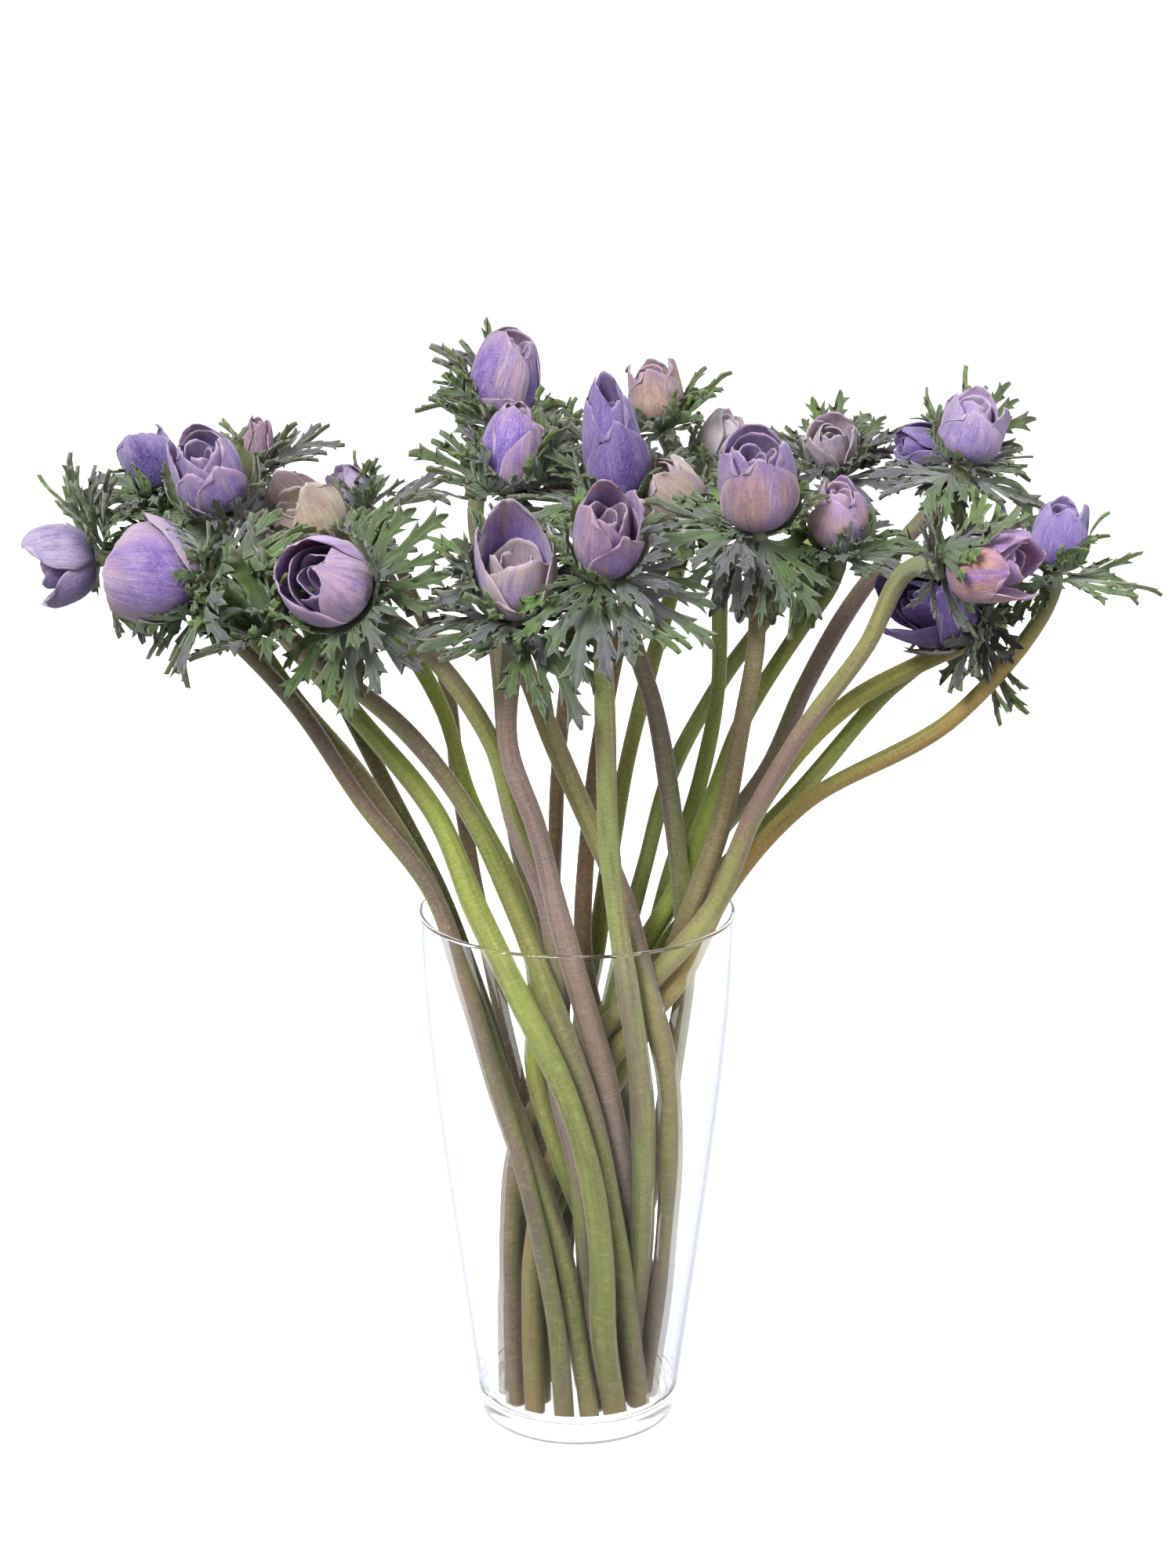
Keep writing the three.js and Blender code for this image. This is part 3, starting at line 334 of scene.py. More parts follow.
        petal=("cbb8a2", "c0aab4", "8f7d78", "ddcfc0"), cane=("8e9c4c", "7d8a3e"),
    ),
    dict(
        foot=(-11, 10), at=(113, 455, 74), lean=0, nod=30, long=25, wide=26, mouth=0.9, turn=85, leaf=43,
        ruff=60, thick=0.95,
        route=((-8, 90, 14), (4, 160, 19), (24, 240, 25), (45, 320, 44), (72, 368, 56), (100, 410, 66)),
        more=((268, 62, 0.62), (236, 62, 0.7), (300, 68, 0.75), (196, 56, 0.8), (340, 60, 0.8),
              (20, 50, 0.8), (90, 50, 0.7)),
        petal=("d6c6ba", "b8a4be", "68508c", "e6dcd8"), cane=("94a05a", "86944c"),
    ),
    dict(
        foot=(-17, -13), at=(113, 418, -34), lean=5, nod=15, long=32, wide=28, mouth=0.5, turn=45, leaf=48,
        ruff=340, thick=1,
        moved=(3, 0),
        route=((-18, 70, -9), (-8, 120, -4), (8, 160, -1), (40, 240, -2), (62, 312, -14), (90, 365, -26)),
        outer=((250, 62, 0.84, 0.3, 0.3, 0), (322, 56, 0.9, 0.6, 0.5, 0.1), (170, 58, 0.95, 0.3, 0.3, 0),
               (70, 62, 1.0, 0.3, 0.3, 0.2)),
        petal=("d6b0a4", "b496ce", "866aa6", "dcc8cc"), cane=("90a23c", "82943a"),
    ),
    dict(
        foot=(-30, 9), at=(172, 457, 12), lean=10, nod=5, long=33, wide=31, mouth=0.7, turn=20, leaf=45,
        ruff=340, thick=1.05,
        shorter=(1, 0.55, 1),
        route=((-32, 70, 11), (-28, 120, 14), (-14, 160, 17), (49, 240, 22), (90, 290, 22), (135, 347, 20),
               (172, 382, 18), (184, 418, 15)),
        outer=((262, 66, 0.8, 0.4, 0.6, 0), (332, 52, 0.86, 1.2, 1.5, 0), (200, 54, 0.92, 0.8, 0.8, 0.1),
               (90, 62, 1.0, 0.6, 1, 0.1)),
        more=((180, 62, 0.6), (150, 70, 0.7), (350, 26, 0.7), (20, 40, 0.7), (240, 30, 0.32),
              (292, 26, 0.34), (215, 60, 0.45), (262, -36, 0.5), (230, -30, 0.5)),
        petal=("a690c2", "c4b0c8", "745ea8", "dccfe4"), cane=("98a44e", "8a9648"),
    ),
    dict(
        foot=(-22, 19), at=(164, 461, 60), lean=-80, nod=10, long=26, wide=24, mouth=0.6, turn=75, leaf=43,
        ruff=60, thick=1.1,
        route=((-22, 80, 22), (-18, 120, 26), (-8, 160, 30), (41, 240, 44), (88, 318, 48), (115, 380, 52),
               (152, 428, 58)),
        petal=("7562a2", "9687ba", "463678", "a99cc8"), cane=("7f8452", "8a7274"),
    ),
    dict(
        foot=(-29, -17), at=(165, 409, -72), lean=84, nod=18, long=42, wide=32, mouth=0.75, turn=100,
        leaf=50, ruff=60, thick=1.1,
        shorter=(0.8, 0.6, 0.5), bud=(0.75, 0.85, 0.5), bud_tone=0.4,
        route=((-31, 70, -10), (-26, 120, -5), (-12, 160, -3), (55, 240, -20), (71, 275, -30),
               (103, 335, -48), (138, 385, -64)),
        outer=((265, 62, 0.76, 0.5, 0.2, 0.02), (350, 54, 0.94, 1.5, 1.5, 0.1),
               (195, 54, 0.92, 0.6, 1.2, 0.35), (100, 62, 1.0, 0.3, 0.8, 0.1)),
        more=((180, 72, 0.9), (150, 56, 0.8), (212, 60, 0.8), (120, 66, 0.7), (236, 20, 0.5),
              (100, 40, 0.6), (60, 50, 0.5)),
        petal=("d09a7e", "a883c0", "7e5688", "e0c4bc"), cane=("8c8a52", "8a7068"),
    ),
    dict(
        foot=(-20, -26), at=(213, 409, -16), lean=3, nod=5, long=32, wide=28, mouth=0.5, turn=55, leaf=48,
        ruff=350, thick=1,
        opening=0.6,
        route=((-21, 70, -21), (-14, 120, -16), (1, 160, -12), (61, 240, -5), (85, 285, -8),
               (120, 310, -12), (160, 337, -15), (195, 365, -16)),
        outer=((262, 62, 0.93, 0.4, 0.4, 0), (338, 60, 0.97, 0.6, 0.4, 0.06),
               (195, 60, 0.96, 0.6, 0.4, 0.1), (90, 66, 1.0, 0.5, 0.4, 0)),
        petal=("937cc0", "b3a2d0", "6858a4", "c2b4d8"), cane=("938c48", "9a8040"),
    ),
    dict(
        foot=(-20, 0), at=(178, 388, -4), lean=-72, nod=25, long=45, wide=38, mouth=0.85, turn=30, leaf=52,
        ruff=180, thick=1.05,
        route=((-20, 70, 3), (-8, 120, 6), (14, 160, 9), (56, 240, 10), (95, 318, 10), (125, 348, 10),
               (160, 365, 10)),
        outer=((282, 58, 0.85, 4, 3, 0.25), (205, 62, 1.0, 1, 1.5, 0.05), (350, 60, 0.9, 0.5, 0.5, 0),
               (90, 66, 1.0, 0.5, 0.5, 0)),
        petal=("5f4690", "7f66ae", "3c2b6c", "a592c4"), cane=("a3a04a", "8f8c44"),
    ),
]


# ---- Numbers and places ----


def draw(a, b):
    """A steady number from 0 to 1 for each pair: a names a flower or a leaf, and b what the number is for."""
    wide = math.sin(a * 12.9898 + b * 78.233) * 43758.5453
    return wide - math.floor(wide)


def smooth(values, start, end):
    """0 up to start, 1 from end on, and an even curve between."""
    share = np.clip((np.asarray(values, float) - start) / (end - start), 0, 1)
    return share * share * (3 - 2 * share)


def bezier(a, b, c, d, t):
    u = 1 - t
    return a * u**3 + 3 * b * u * u * t + 3 * c * u * t * t + d * t**3


def seen(place):
    """A place as the camera sees it on the plane through the vase's axis, moved along its line of sight."""
    across, up, depth = place
    on_plane = np.array([across, 0.0, up])
    return EYE + (on_plane - EYE) * (depth - EYE[1]) / -EYE[1]


def head_axes(flower):
    """The bloom's own axes as rows, z out of the stem and y to the back, and its place."""
    lean, nod = math.radians(flower["lean"]), math.radians(flower["nod"])
    level = math.cos(nod)
    z = np.array([math.sin(lean) * level, -math.sin(nod), math.cos(lean) * level])
    y = np.array([0.0, 1.0, 0.0]) - z * z[1]
    y /= np.linalg.norm(y)
    return np.array([np.cross(y, z), y, z]), seen(flower["at"])


def placed(points, head):
    """Points in a bloom's own axes, put in the frame."""
    axes, at = head
    return points @ axes + at


def rooted_curve(points, count):
    """A centripetal Catmull-Rom curve through the points, count steps long."""
    points = [np.asarray(p, float) for p in points]
    ends = [2 * points[0] - points[1], *points, 2 * points[-1] - points[-2]]
    spans = len(points) - 1
    fine = []
    for step in range(count + 1):
        place = spans * step / count
        k = min(int(place), spans - 1)
        w = place - k
        p0, p1, p2, p3 = ends[k : k + 4]
        d0, d1, d2 = (float(np.sum((b - a) ** 2)) ** 0.25 for a, b in ((p0, p1), (p1, p2), (p2, p3)))
        out = ((p1 - p0) / d0 - (p2 - p0) / (d0 + d1) + (p2 - p1) / d1) * d1
        into = ((p2 - p1) / d1 - (p3 - p1) / (d1 + d2) + (p3 - p2) / d2) * d1
        bend = -3 * p1 + 3 * p2 - 2 * out - into
        turn = 2 * p1 - 2 * p2 + out + into
        fine.append(p1 + out * w + bend * w**2 + turn * w**3)
    return np.array(fine)


# ---- Shaping ----


def alone(piece):
    """Makes the piece the only one that is selected."""
    bpy.ops.object.select_all(action="DESELECT")
    piece.select_set(True)
    bpy.context.view_layer.objects.active = piece


def grid(name, across, along):
    """A flat grid from -1 to 1 both ways, with a UV map of its own, ready to be shaped."""
    bpy.ops.object.select_all(action="DESELECT")
    bpy.ops.mesh.primitive_grid_add(x_subdivisions=across, y_subdivisions=along, size=2)
    piece = bpy.context.active_object
    piece.name = piece.data.name = name
    return piece


def corners(mesh):
    places = np.empty(len(mesh.vertices) * 3)
    mesh.vertices.foreach_get("co", places)
    return places.reshape(-1, 3)


def move_corners(mesh, places):
    mesh.vertices.foreach_set("co", np.asarray(places, float).ravel())
    mesh.update()


def touch(mesh, own, along, edge, side, tone=0.0):
    """Numbers on each corner for the finish: its piece's own draw, how far along, how near the edge, on
    which face it is, and how much of the second colour it has."""
    layer = mesh.attributes.get("touch") or mesh.attributes.new("touch", "FLOAT_COLOR", "POINT")
    count = len(mesh.vertices)
    values = np.stack([np.broadcast_to(np.asarray(v, float), count) for v in (own, along, edge, side)], 1)
    layer.data.foreach_set("color", values.ravel())
    layer = mesh.attributes.get("tone") or mesh.attributes.new("tone", "FLOAT", "POINT")
    layer.data.foreach_set("value", np.broadcast_to(np.asarray(tone, float), count).copy())


def weld(piece, distance):
    """Closes a wrapped grid's seam and poles, and turns its faces outwards."""
    alone(piece)
    bpy.ops.object.mode_set(mode="EDIT")
    bpy.ops.mesh.select_all(action="SELECT")
    bpy.ops.mesh.remove_doubles(threshold=distance)
    bpy.ops.mesh.normals_make_consistent(inside=False)
    bpy.ops.object.mode_set(mode="OBJECT")


def join(parts, name):
    bpy.ops.object.select_all(action="DESELECT")
    for part in parts:
        part.select_set(True)
    bpy.context.view_layer.objects.active = parts[0]
    if len(parts) > 1:
        bpy.ops.object.join()
    whole = bpy.context.active_object
    whole.name = whole.data.name = name
    alone(whole)
    bpy.ops.object.shade_smooth()
    return whole


def own_copy(master, name):
    copy = bpy.data.objects.new(name, master.data.copy())
    bpy.context.scene.collection.objects.link(copy)
    return copy


def two_faced(piece):
    """Gives a flat pattern its second face, a hair behind the first."""
    alone(piece)
    shell = piece.modifiers.new("Second face", "SOLIDIFY")
    shell.thickness = 0.01
    shell.offset = 0
    bpy.ops.object.modifier_apply(modifier=shell.name)
    return piece


def finish(piece, slot, *nodes):
    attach(piece, "root")
    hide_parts(*nodes)


# ---- Finishes ----


def paint(code):
    """A linear colour from a six-figure code."""
    parts = [int(code[k : k + 2], 16) / 255 for k in (0, 2, 4)]
    linear = [p / 12.92 if p <= 0.04045 else ((p + 0.055) / 1.055) ** 2.4 for p in parts]
    return (*linear, 1.0)


class Finish:
    """A node material that is put together step by step. Its body is the colour as laid so far."""

    def __init__(self, name, code="ffffff"):
        self.body = paint(code)
        self.material = bpy.data.materials.new(name)
        self.material.use_nodes = True
        self.tree = self.material.node_tree
        self.shader = self.tree.nodes["Principled BSDF"]

    def node(self, kind, inputs, output=0, **settings):
        made = self.tree.nodes.new(kind)
        for name, value in settings.items():
            setattr(made, name, value)
        for key, value in inputs.items():
            self.put(made, key, value)
        return made.outputs[output]

    def put(self, node, key, value):
        if isinstance(value, bpy.types.NodeSocket):
            self.tree.links.new(value, node.inputs[key])
        else:
            node.inputs[key].default_value = value

    def set(self, **values):
        for key, value in values.items():
            self.put(self.shader, key.replace("_", " ").title().replace("Ior", "IOR"), value)

    def sums(self, operation, a, b):
        return self.node("ShaderNodeMath", {0: a, 1: b}, operation=operation)

    def mix(self, share, low, high, blend="MIX"):
        inputs = {"Factor": share, 6: low, 7: high}
        return self.node("ShaderNodeMix", inputs, output=2, data_type="RGBA", blend_type=blend)

    def between(self, value, start, end, low=0.0, high=1.0):
        inputs = {"Value": value, "From Min": start, "From Max": end, "To Min": low, "To Max": high}
        return self.node("ShaderNodeMapRange", inputs, interpolation_type="SMOOTHSTEP")

    def noise(self, vector, scale, detail, rough=0.55):
        inputs = {"Vector": vector, "Scale": scale, "Detail": detail, "Roughness": rough}
        return self.node("ShaderNodeTexNoise", inputs)

    def lay(self, code, share):
        self.body = self.mix(share, self.body, paint(code))

    def coat(self, code, value, start, end, low=0.0, high=1.0):
        """Lays a colour over the body, from the low share where value is start to the high one at end."""
        self.lay(code, self.between(value, start, end, low, high))

    def place(self):
        return self.node("ShaderNodeTexCoord", {}, output="Object")

    def weave(self, across, along, own):
        """UV stretched across and along, and moved by the piece's own draw."""
        uv = self.node("ShaderNodeTexCoord", {}, output="UV")
        split = self.tree.nodes.new("ShaderNodeSeparateXYZ")
        self.put(split, 0, uv)
        x = self.sums("MULTIPLY", split.outputs[0], across)
        y = self.sums("MULTIPLY", split.outputs[1], along)
        z = self.sums("MULTIPLY", own, 37.0)
        return self.node("ShaderNodeCombineXYZ", {0: x, 1: y, 2: z})

    def touched(self):
        """own, along, edge and side, as touch() wrote them."""
        layer = self.tree.nodes.new("ShaderNodeAttribute")
        layer.attribute_name = "touch"
        split = self.tree.nodes.new("ShaderNodeSeparateColor")
        self.put(split, 0, layer.outputs["Color"])
        return (*split.outputs, layer.outputs["Alpha"])

    def tone(self):
        layer = self.tree.nodes.new("ShaderNodeAttribute")
        layer.attribute_name = "tone"
        return layer.outputs["Fac"]

    def relief(self, height, distance, strength, under=None):
        inputs = {"Height": height, "Distance": distance, "Strength": strength}
        if under is not None:
            inputs["Normal"] = under
        return self.node("ShaderNodeBump", inputs)


SILK_SHADE = (0.9, 0.87, 0.94, 1.0)


def petal_silk(name, main, second, deep, rim):
    """Hairy silk: veined and mottled, deep at the claw, with wide soft margins, a fine pale rim, and painted
    shade inside the cup.
    """
    silk = Finish(name, main)
    own, along, edge, side = silk.touched()
    streaks = silk.sums("ADD", silk.noise(silk.weave(4.0, 1.1, own), 1.0, 4.0), silk.tone())
    silk.coat(second, streaks, 0.5, 0.7)
    clouds = silk.noise(silk.place(), 60.0, 4.0)
    silk.coat(deep, clouds, 0.46, 0.7, 0.0, 0.5)
    flecks = silk.noise(silk.weave(14.0, 6.0, own), 1.0, 5.0, 0.7)
    silk.coat(deep, flecks, 0.5, 0.62, 0.0, 0.4)
    silk.coat(rim, flecks, 0.48, 0.36, 0.0, 0.35)
    margin = silk.sums("MAXIMUM", silk.between(edge, 0.35, 1.0), silk.between(along, 0.62, 1.0))
    margin = silk.sums("MULTIPLY", margin, silk.between(streaks, 0.3, 0.62, 0.25, 0.9))
    silk.lay(second, margin)
    silk.coat(deep, along, 0.02, 0.6, 0.8, 0.0)
    # Painted shade: the inner face of each petal is darkened towards the claw, where the cupped bloom shades
    # its own inside.
    inner = silk.sums("MULTIPLY", side, silk.between(along, 0.25, 0.95, 0.14, 0.0))
    silk.lay(deep, inner)
    veins = silk.noise(silk.weave(42.0, 2.2, own), 1.0, 5.0, 0.65)
    silk.coat(deep, veins, 0.48, 0.66, 0.0, 0.42)
    hairs = silk.noise(silk.place(), 1300.0, 4.0, 0.75)
    silk.coat(rim, hairs, 0.46, 0.66, 0.0, 0.42)
    silk.coat(deep, hairs, 0.46, 0.3, 0.0, 0.22)
    hem = silk.sums("MAXIMUM", silk.between(edge, 0.94, 1.0), silk.between(along, 0.965, 1.0))
    silk.lay(rim, silk.sums("MULTIPLY", hem, 0.75))
    silk.body = silk.mix(1.0, silk.body, SILK_SHADE, "MULTIPLY")
    silk.set(base_color=silk.body, roughness=0.65, sheen_weight=0.3, sheen_roughness=0.4)
    silk.set(specular_ior_level=0.25, subsurface_weight=0.12, subsurface_scale=0.002)
    grain = silk.relief(veins, 0.0013, 0.7)
    silk.set(normal=silk.relief(hairs, 0.0006, 0.6, grain))
    return silk.material


def leaf_green(name):
    """Dusty grey-green with a purple bloom near the neck, brighter and yellower below."""
    green = Finish(name, "4d5e3c")
    own, along, edge, side = green.touched()
    clouds = green.noise(green.place(), 28.0, 3.0)
    lean = green.sums("ADD", green.sums("MULTIPLY", own, 0.5), green.sums("MULTIPLY", clouds, 0.75))
    green.coat("5e7f38", lean, 0.35, 0.8)
    dusk = green.noise(green.place(), 19.0, 2.0)
    dusk = green.sums("ADD", dusk, green.sums("MULTIPLY", own, 0.16))
    green.coat("665c74", dusk, 0.47, 0.72, 0.0, 0.8)
    veins = green.noise(green.weave(9.0, 1.4, own), 1.0, 4.0)
    green.coat("28361e", veins, 0.46, 0.7, 0.0, 0.68)
    green.coat("7f8f66", edge, 0.0, 0.14, 0.3, 0.0)
    green.lay("74903f", green.sums("MULTIPLY", side, 0.35))
    green.coat("6d7560", along, 0.05, 0.5, 0.5, 0.0)
    hairs = green.noise(green.place(), 1100.0, 3.0, 0.7)
    green.coat("94968e", hairs, 0.52, 0.75, 0.0, 0.22)
    green.coat("97a184", edge, 0.82, 1.0, 0.0, 0.45)
    green.set(base_color=green.body, roughness=0.6, sheen_weight=0.3, sheen_roughness=0.35)
    green.set(specular_ior_level=0.3, subsurface_weight=0.06, subsurface_scale=0.002)
    green.set(normal=green.relief(veins, 0.0012, 0.6, green.relief(hairs, 0.0003, 0.5)))
    return green.material


def stem_skin(name, main, second):
    """Two colours in long patches, fine rings across, soft hairs, an ochre cut end, and painted shade low
    down in the vase.
    """
    skin = Finish(name, main)
    own, along, edge, side = skin.touched()
    patches = skin.noise(skin.weave(2.2, 4.5, own), 1.0, 3.0)
    skin.coat(second, patches, 0.42, 0.58)
    streaks = skin.noise(skin.weave(16.0, 8.0, own), 1.0, 4.0)
    skin.coat("4a3c28", streaks, 0.46, 0.74, 0.0, 0.5)
    blush = skin.noise(skin.place(), 14.0, 2.0)
    skin.coat("94705e", blush, 0.45, 0.66, 0.0, 0.28)
    # Painted shade: the lower stem is darkened inside the vase, where the crowded stems shade each other.
    skin.coat("48422f", along, 0.1, 0.6, 0.52, 0.0)
    rings = skin.noise(skin.weave(7.0, 380.0, own), 1.0, 4.0, 0.65)
    skin.coat("454428", rings, 0.48, 0.75, 0.0, 0.28)
    skin.coat("c4bd86", rings, 0.5, 0.25, 0.0, 0.22)
    hairs = skin.noise(skin.place(), 1300.0, 3.0, 0.7)
    skin.coat("c3bfae", hairs, 0.5, 0.75, 0.0, 0.3)
    skin.coat("3a3424", hairs, 0.5, 0.3, 0.0, 0.3)
    skin.coat("6b5a38", along, 0.004, 0.05, 0.55, 0.0)
    skin.lay("66705a", skin.sums("MULTIPLY", edge, 0.7))
    skin.lay("94783c", side)
    skin.set(base_color=skin.body, roughness=0.6, sheen_weight=0.3, sheen_roughness=0.3)
    skin.set(specular_ior_level=0.3, subsurface_weight=0.1, subsurface_scale=0.003)
    skin.set(normal=skin.relief(rings, 0.0005, 0.35, skin.relief(streaks, 0.0012, 0.4)))
    return skin.material


def thin_glass(name):
    """The clear wall: hardly there from the front, with a painted grey-blue reflection where it is seen edge
    on.
    """
    glass = Finish(name)
    facing = glass.node("ShaderNodeLayerWeight", {"Blend": 0.5}, output="Facing")
    # Painted reflection: grey-blue laid into the colour where the wall is seen edge on, in place of the
    # surroundings that its edge reflects and bends.
    tint = glass.mix(glass.between(facing, 0.35, 0.92, 0.0, 1.0), paint("fafbfe"), paint("8e9bbd"))
    glass.set(base_color=tint, roughness=0.0, ior=1.06, transmission_weight=1.0, coat_weight=0.5)
    glass.set(coat_roughness=0.02, alpha=glass.between(facing, 0.3, 0.85, 0.1, 0.95))
    return glass.material


def pressed_glass(name):
    """The thick clear base and the lip, which bend what is behind them."""
    glass = Finish(name)
    waves = glass.noise(glass.place(), 30.0, 2.0)
    tint = glass.mix(glass.between(waves, 0.3, 0.7), paint("e9eef6"), paint("fdfeff"))
    glass.set(base_color=tint, roughness=0.0, ior=1.4, transmission_weight=1.0)
    glass.set(normal=glass.relief(waves, 0.002, 0.35))
    return glass.material


def studio_white(name):
    white = Finish(name)
    cloud = white.noise(white.place(), 0.8, 1.0)
    white.set(base_color=white.mix(cloud, (0.93, 0.93, 0.935, 1), (0.95, 0.95, 0.95, 1)), roughness=0.9)
    white.set(emission_color=(1, 1, 1, 1), emission_strength=0.8)
    return white.material


# ---- The glass ----


def vase_radius(z, heel=HEEL_RADIUS):
    t = np.asarray(z, float) / VASE_HEIGHT
    return heel + (RIM_RADIUS - heel) * ((1 + FLARE) * t - FLARE * t**5)


def glass_radius(z):
    return vase_radius(z, GLASS_HEEL)


def inner_radius(z):
    """The flat inner faces of the CAD glass, which is what the stems were settled in."""
    edge = np.interp(z, WALL_LEVELS, vase_radius(np.array(WALL_LEVELS))) - WALL
    low, high = WALL_LEVELS[:2]
    slope = (vase_radius(high) - vase_radius(low)) / (high - low)
    edge = np.where(np.asarray(z) < low, vase_radius(low) - WALL + (z - low) * slope, edge)
    low, high = WALL_LEVELS[-2:]
    slope = (vase_radius(high) - vase_radius(low)) / (high - low)
    edge = np.where(np.asarray(z) > high, vase_radius(high) - WALL + (z - high) * slope, edge)
    return edge * math.cos(math.pi / VASE_SIDES)


def arc(centre, radius, start, end, steps):
    turns = np.radians(np.linspace(start, end, steps + 1))
    return [(centre[0] + radius * math.cos(a), centre[1] + radius * math.sin(a)) for a in turns]


def vase_profile():
    """From the middle of the underside, up the outside, over the lip and down to the middle of the floor."""
    lip = GLASS_WALL / 2
    top = VASE_HEIGHT - lip
    outside = [(float(glass_radius(z)), z) for z in np.linspace(OUTSIDE_FOOT, top, 36)]
    inside = [(float(glass_radius(z)) - GLASS_WALL, z) for z in np.linspace(top - 1, INSIDE_FOOT, 32)]
    wall_foot = float(glass_radius(CORNER_FOOT)) - GLASS_WALL
    corner = arc((wall_foot - FLOOR_ROUND, FLOOR + FLOOR_ROUND), FLOOR_ROUND, -6, -90, 10)
    base = arc((GLASS_HEEL - HEEL_ROUND + 0.9, HEEL_ROUND + 0.05), HEEL_ROUND, -90, -8, 10)
    over = arc((float(glass_radius(top)) - lip, top), lip, 6, 180, 10)
    return [*PUNT, *base, *outside, *over, *inside, *corner, (28, FLOOR), (14, FLOOR), (0, FLOOR)]


def make_vase():
    profile = np.array(vase_profile())
    piece = grid("glass", GLASS_SIDES, len(profile) - 1)
    places = corners(piece.data)
    row = np.rint((places[:, 1] + 1) / 2 * (len(profile) - 1)).astype(int)
    turn = places[:, 0] * math.pi
    radius, height = profile[row, 0], profile[row, 1]
    shaped = np.stack([radius * np.cos(turn), radius * np.sin(turn), height], 1)
    move_corners(piece.data, shaped * MM)
    weld(piece, 0.02 * MM)
    bpy.ops.object.shade_smooth()
    piece.data.materials.append(thin_glass("Clear glass wall"))
    piece.data.materials.append(pressed_glass("Thick clear glass"))
    for face in piece.data.polygons:
        height = face.center.z / MM
        away = math.hypot(*face.center[:2]) / MM
        thick = height > VASE_HEIGHT - LIP_DEEP or height < BASE_TOP
        face.material_index = int(thick and not (height < PUNT_TOP and away < HEEL_RADIUS - PUNT_EDGE))
    finish(piece, "clear_glass", "vase")


# ---- Stems ----


def first_bends(flower):
    """A stem's bends at even heights, before the stems lie against each other."""
    axes, at = head_axes(flower)
    foot = np.array([*flower["foot"], FLOOR + FOOT_AIR], float)
    neck = at - NECK * axes[2]
    fine = rooted_curve([foot, *(seen(p) for p in flower["route"]), neck], 400)
    bends = [foot]
    z = foot[2] + LEVEL
    while z < neck[2] - LEAST_LEVEL:
        i = int(np.argmax(fine[:, 2] >= z))
        share = (z - fine[i - 1, 2]) / (fine[i, 2] - fine[i - 1, 2])
        bends.append(fine[i - 1] + share * (fine[i] - fine[i - 1]))
        z += LEVEL
    return np.array([*bends, neck])


def settled(lines):
    """The stems' bends once they lie against each other, the glass and the blooms, as in the frame."""
    count, most = len(lines), max(map(len, lines))
    bends = np.array([np.vstack([line, np.repeat(line[-1:], most - len(line), 0)]) for line in lines])
    heights = np.arange(FLOOR + FOOT_AIR, HIGHEST_SLICE, SLICE)
    above = np.ones((len(heights), count), int)
    inside = np.zeros((len(heights), count), bool)
    for n, line in enumerate(lines):
        for s, z in enumerate(heights):
            over = np.nonzero(line[:, 2] > z)[0]
            if len(over) and over[0] > 0:
                above[s, n], inside[s, n] = over[0], True
    which = np.broadcast_to(np.arange(count), above.shape)
    low_z, high_z = bends[which, above - 1, 2], bends[which, above, 2]
    share = (heights[:, None] - low_z) / (high_z - low_z)
    spread = share**2 + (1 - share) ** 2
    least = 2 * STEM_RADIUS + STEM_GAP
    heads = [head_axes(flower) for flower in FLOWERS]
    starts = np.array([at for _, at in heads])
    axes = np.array([axes[2] * flower["long"] for (axes, _), flower in zip(heads, FLOWERS)])
    reach = np.array([flower["wide"] / 2 + STEM_RADIUS + STEM_GAP for flower in FLOWERS])
    pairs = inside[:, :, None] & inside[:, None, :] & ~np.eye(count, dtype=bool)
    others = inside[:, :, None] & ~np.eye(count, dtype=bool)
    tall = np.broadcast_to(heights[:, None], above.shape)
    free = np.array([[0 < k < len(line) - 1 for k in range(most)] for line in lines])
    for _ in range(SETTLE_ROUNDS):
        low, high = bends[which, above - 1], bends[which, above]
        here = low + share[..., None] * (high - low)
        slope = (high - low)[..., :2] / (high_z - low_z)[..., None]
        side = here[:, :, None, :2] - here[:, None, :, :2]
        apart = np.hypot(side[..., 0], side[..., 1]) + 1e-12
        tilt = (slope[:, :, None] + slope[:, None]) / 2
        along = (side * tilt).sum(-1)
        clear = np.sqrt(np.maximum(apart**2 - along**2 / (1 + (tilt**2).sum(-1)), 0))
        amount = np.where(pairs & (clear < least), (least - clear) / 2 / apart, 0)
        push = (side * amount[..., None]).sum(2)
        point = np.concatenate([here[..., :2], tall[..., None]], -1)[:, :, None]
        t = np.clip(((point - starts) * axes).sum(-1) / (axes**2).sum(-1), 0, 1)
        away = point - (starts + t[..., None] * axes)
        length = np.linalg.norm(away, axis=-1)
        flat = np.hypot(away[..., 0], away[..., 1]) + 1e-12
        amount = np.where(others & (length < reach), (reach - length) / flat, 0)
        push += (away[..., :2] * amount[..., None]).sum(2)
        steep = np.hypot(1, np.hypot(slope[..., 0], slope[..., 1]))
        room = inner_radius(tall) - STEM_RADIUS * steep - STEM_GAP
        out = np.hypot(here[..., 0], here[..., 1]) + 1e-12
        tight = inside & (tall < VASE_HEIGHT + STEM_RADIUS) & (out > room)
        push += np.where(tight[..., None], here[..., :2] / out[..., None] * (room - out)[..., None], 0)
        moves = np.zeros((count, most, 2))
        np.add.at(moves, (which, above), push * (share / spread)[..., None])
        np.add.at(moves, (which, above - 1), push * ((1 - share) / spread)[..., None])
        bends[..., :2] += SETTLE_SHARE * moves * free[..., None]
    return [bends[n, : len(line)] for n, line in enumerate(lines)]


def ring_frames(line):
    """Two directions across a line at each of its points, without twist."""
    ways = np.gradient(line, axis=0)
    ways /= np.linalg.norm(ways, axis=1)[:, None]
    first = np.cross(ways[0], [0.0, 1.0, 0.0])
    sides = []
    for way in ways:
        first = first - way * first.dot(way)
        first /= np.linalg.norm(first)
        sides.append((first, np.cross(way, first)))
    return np.array(sides), ways


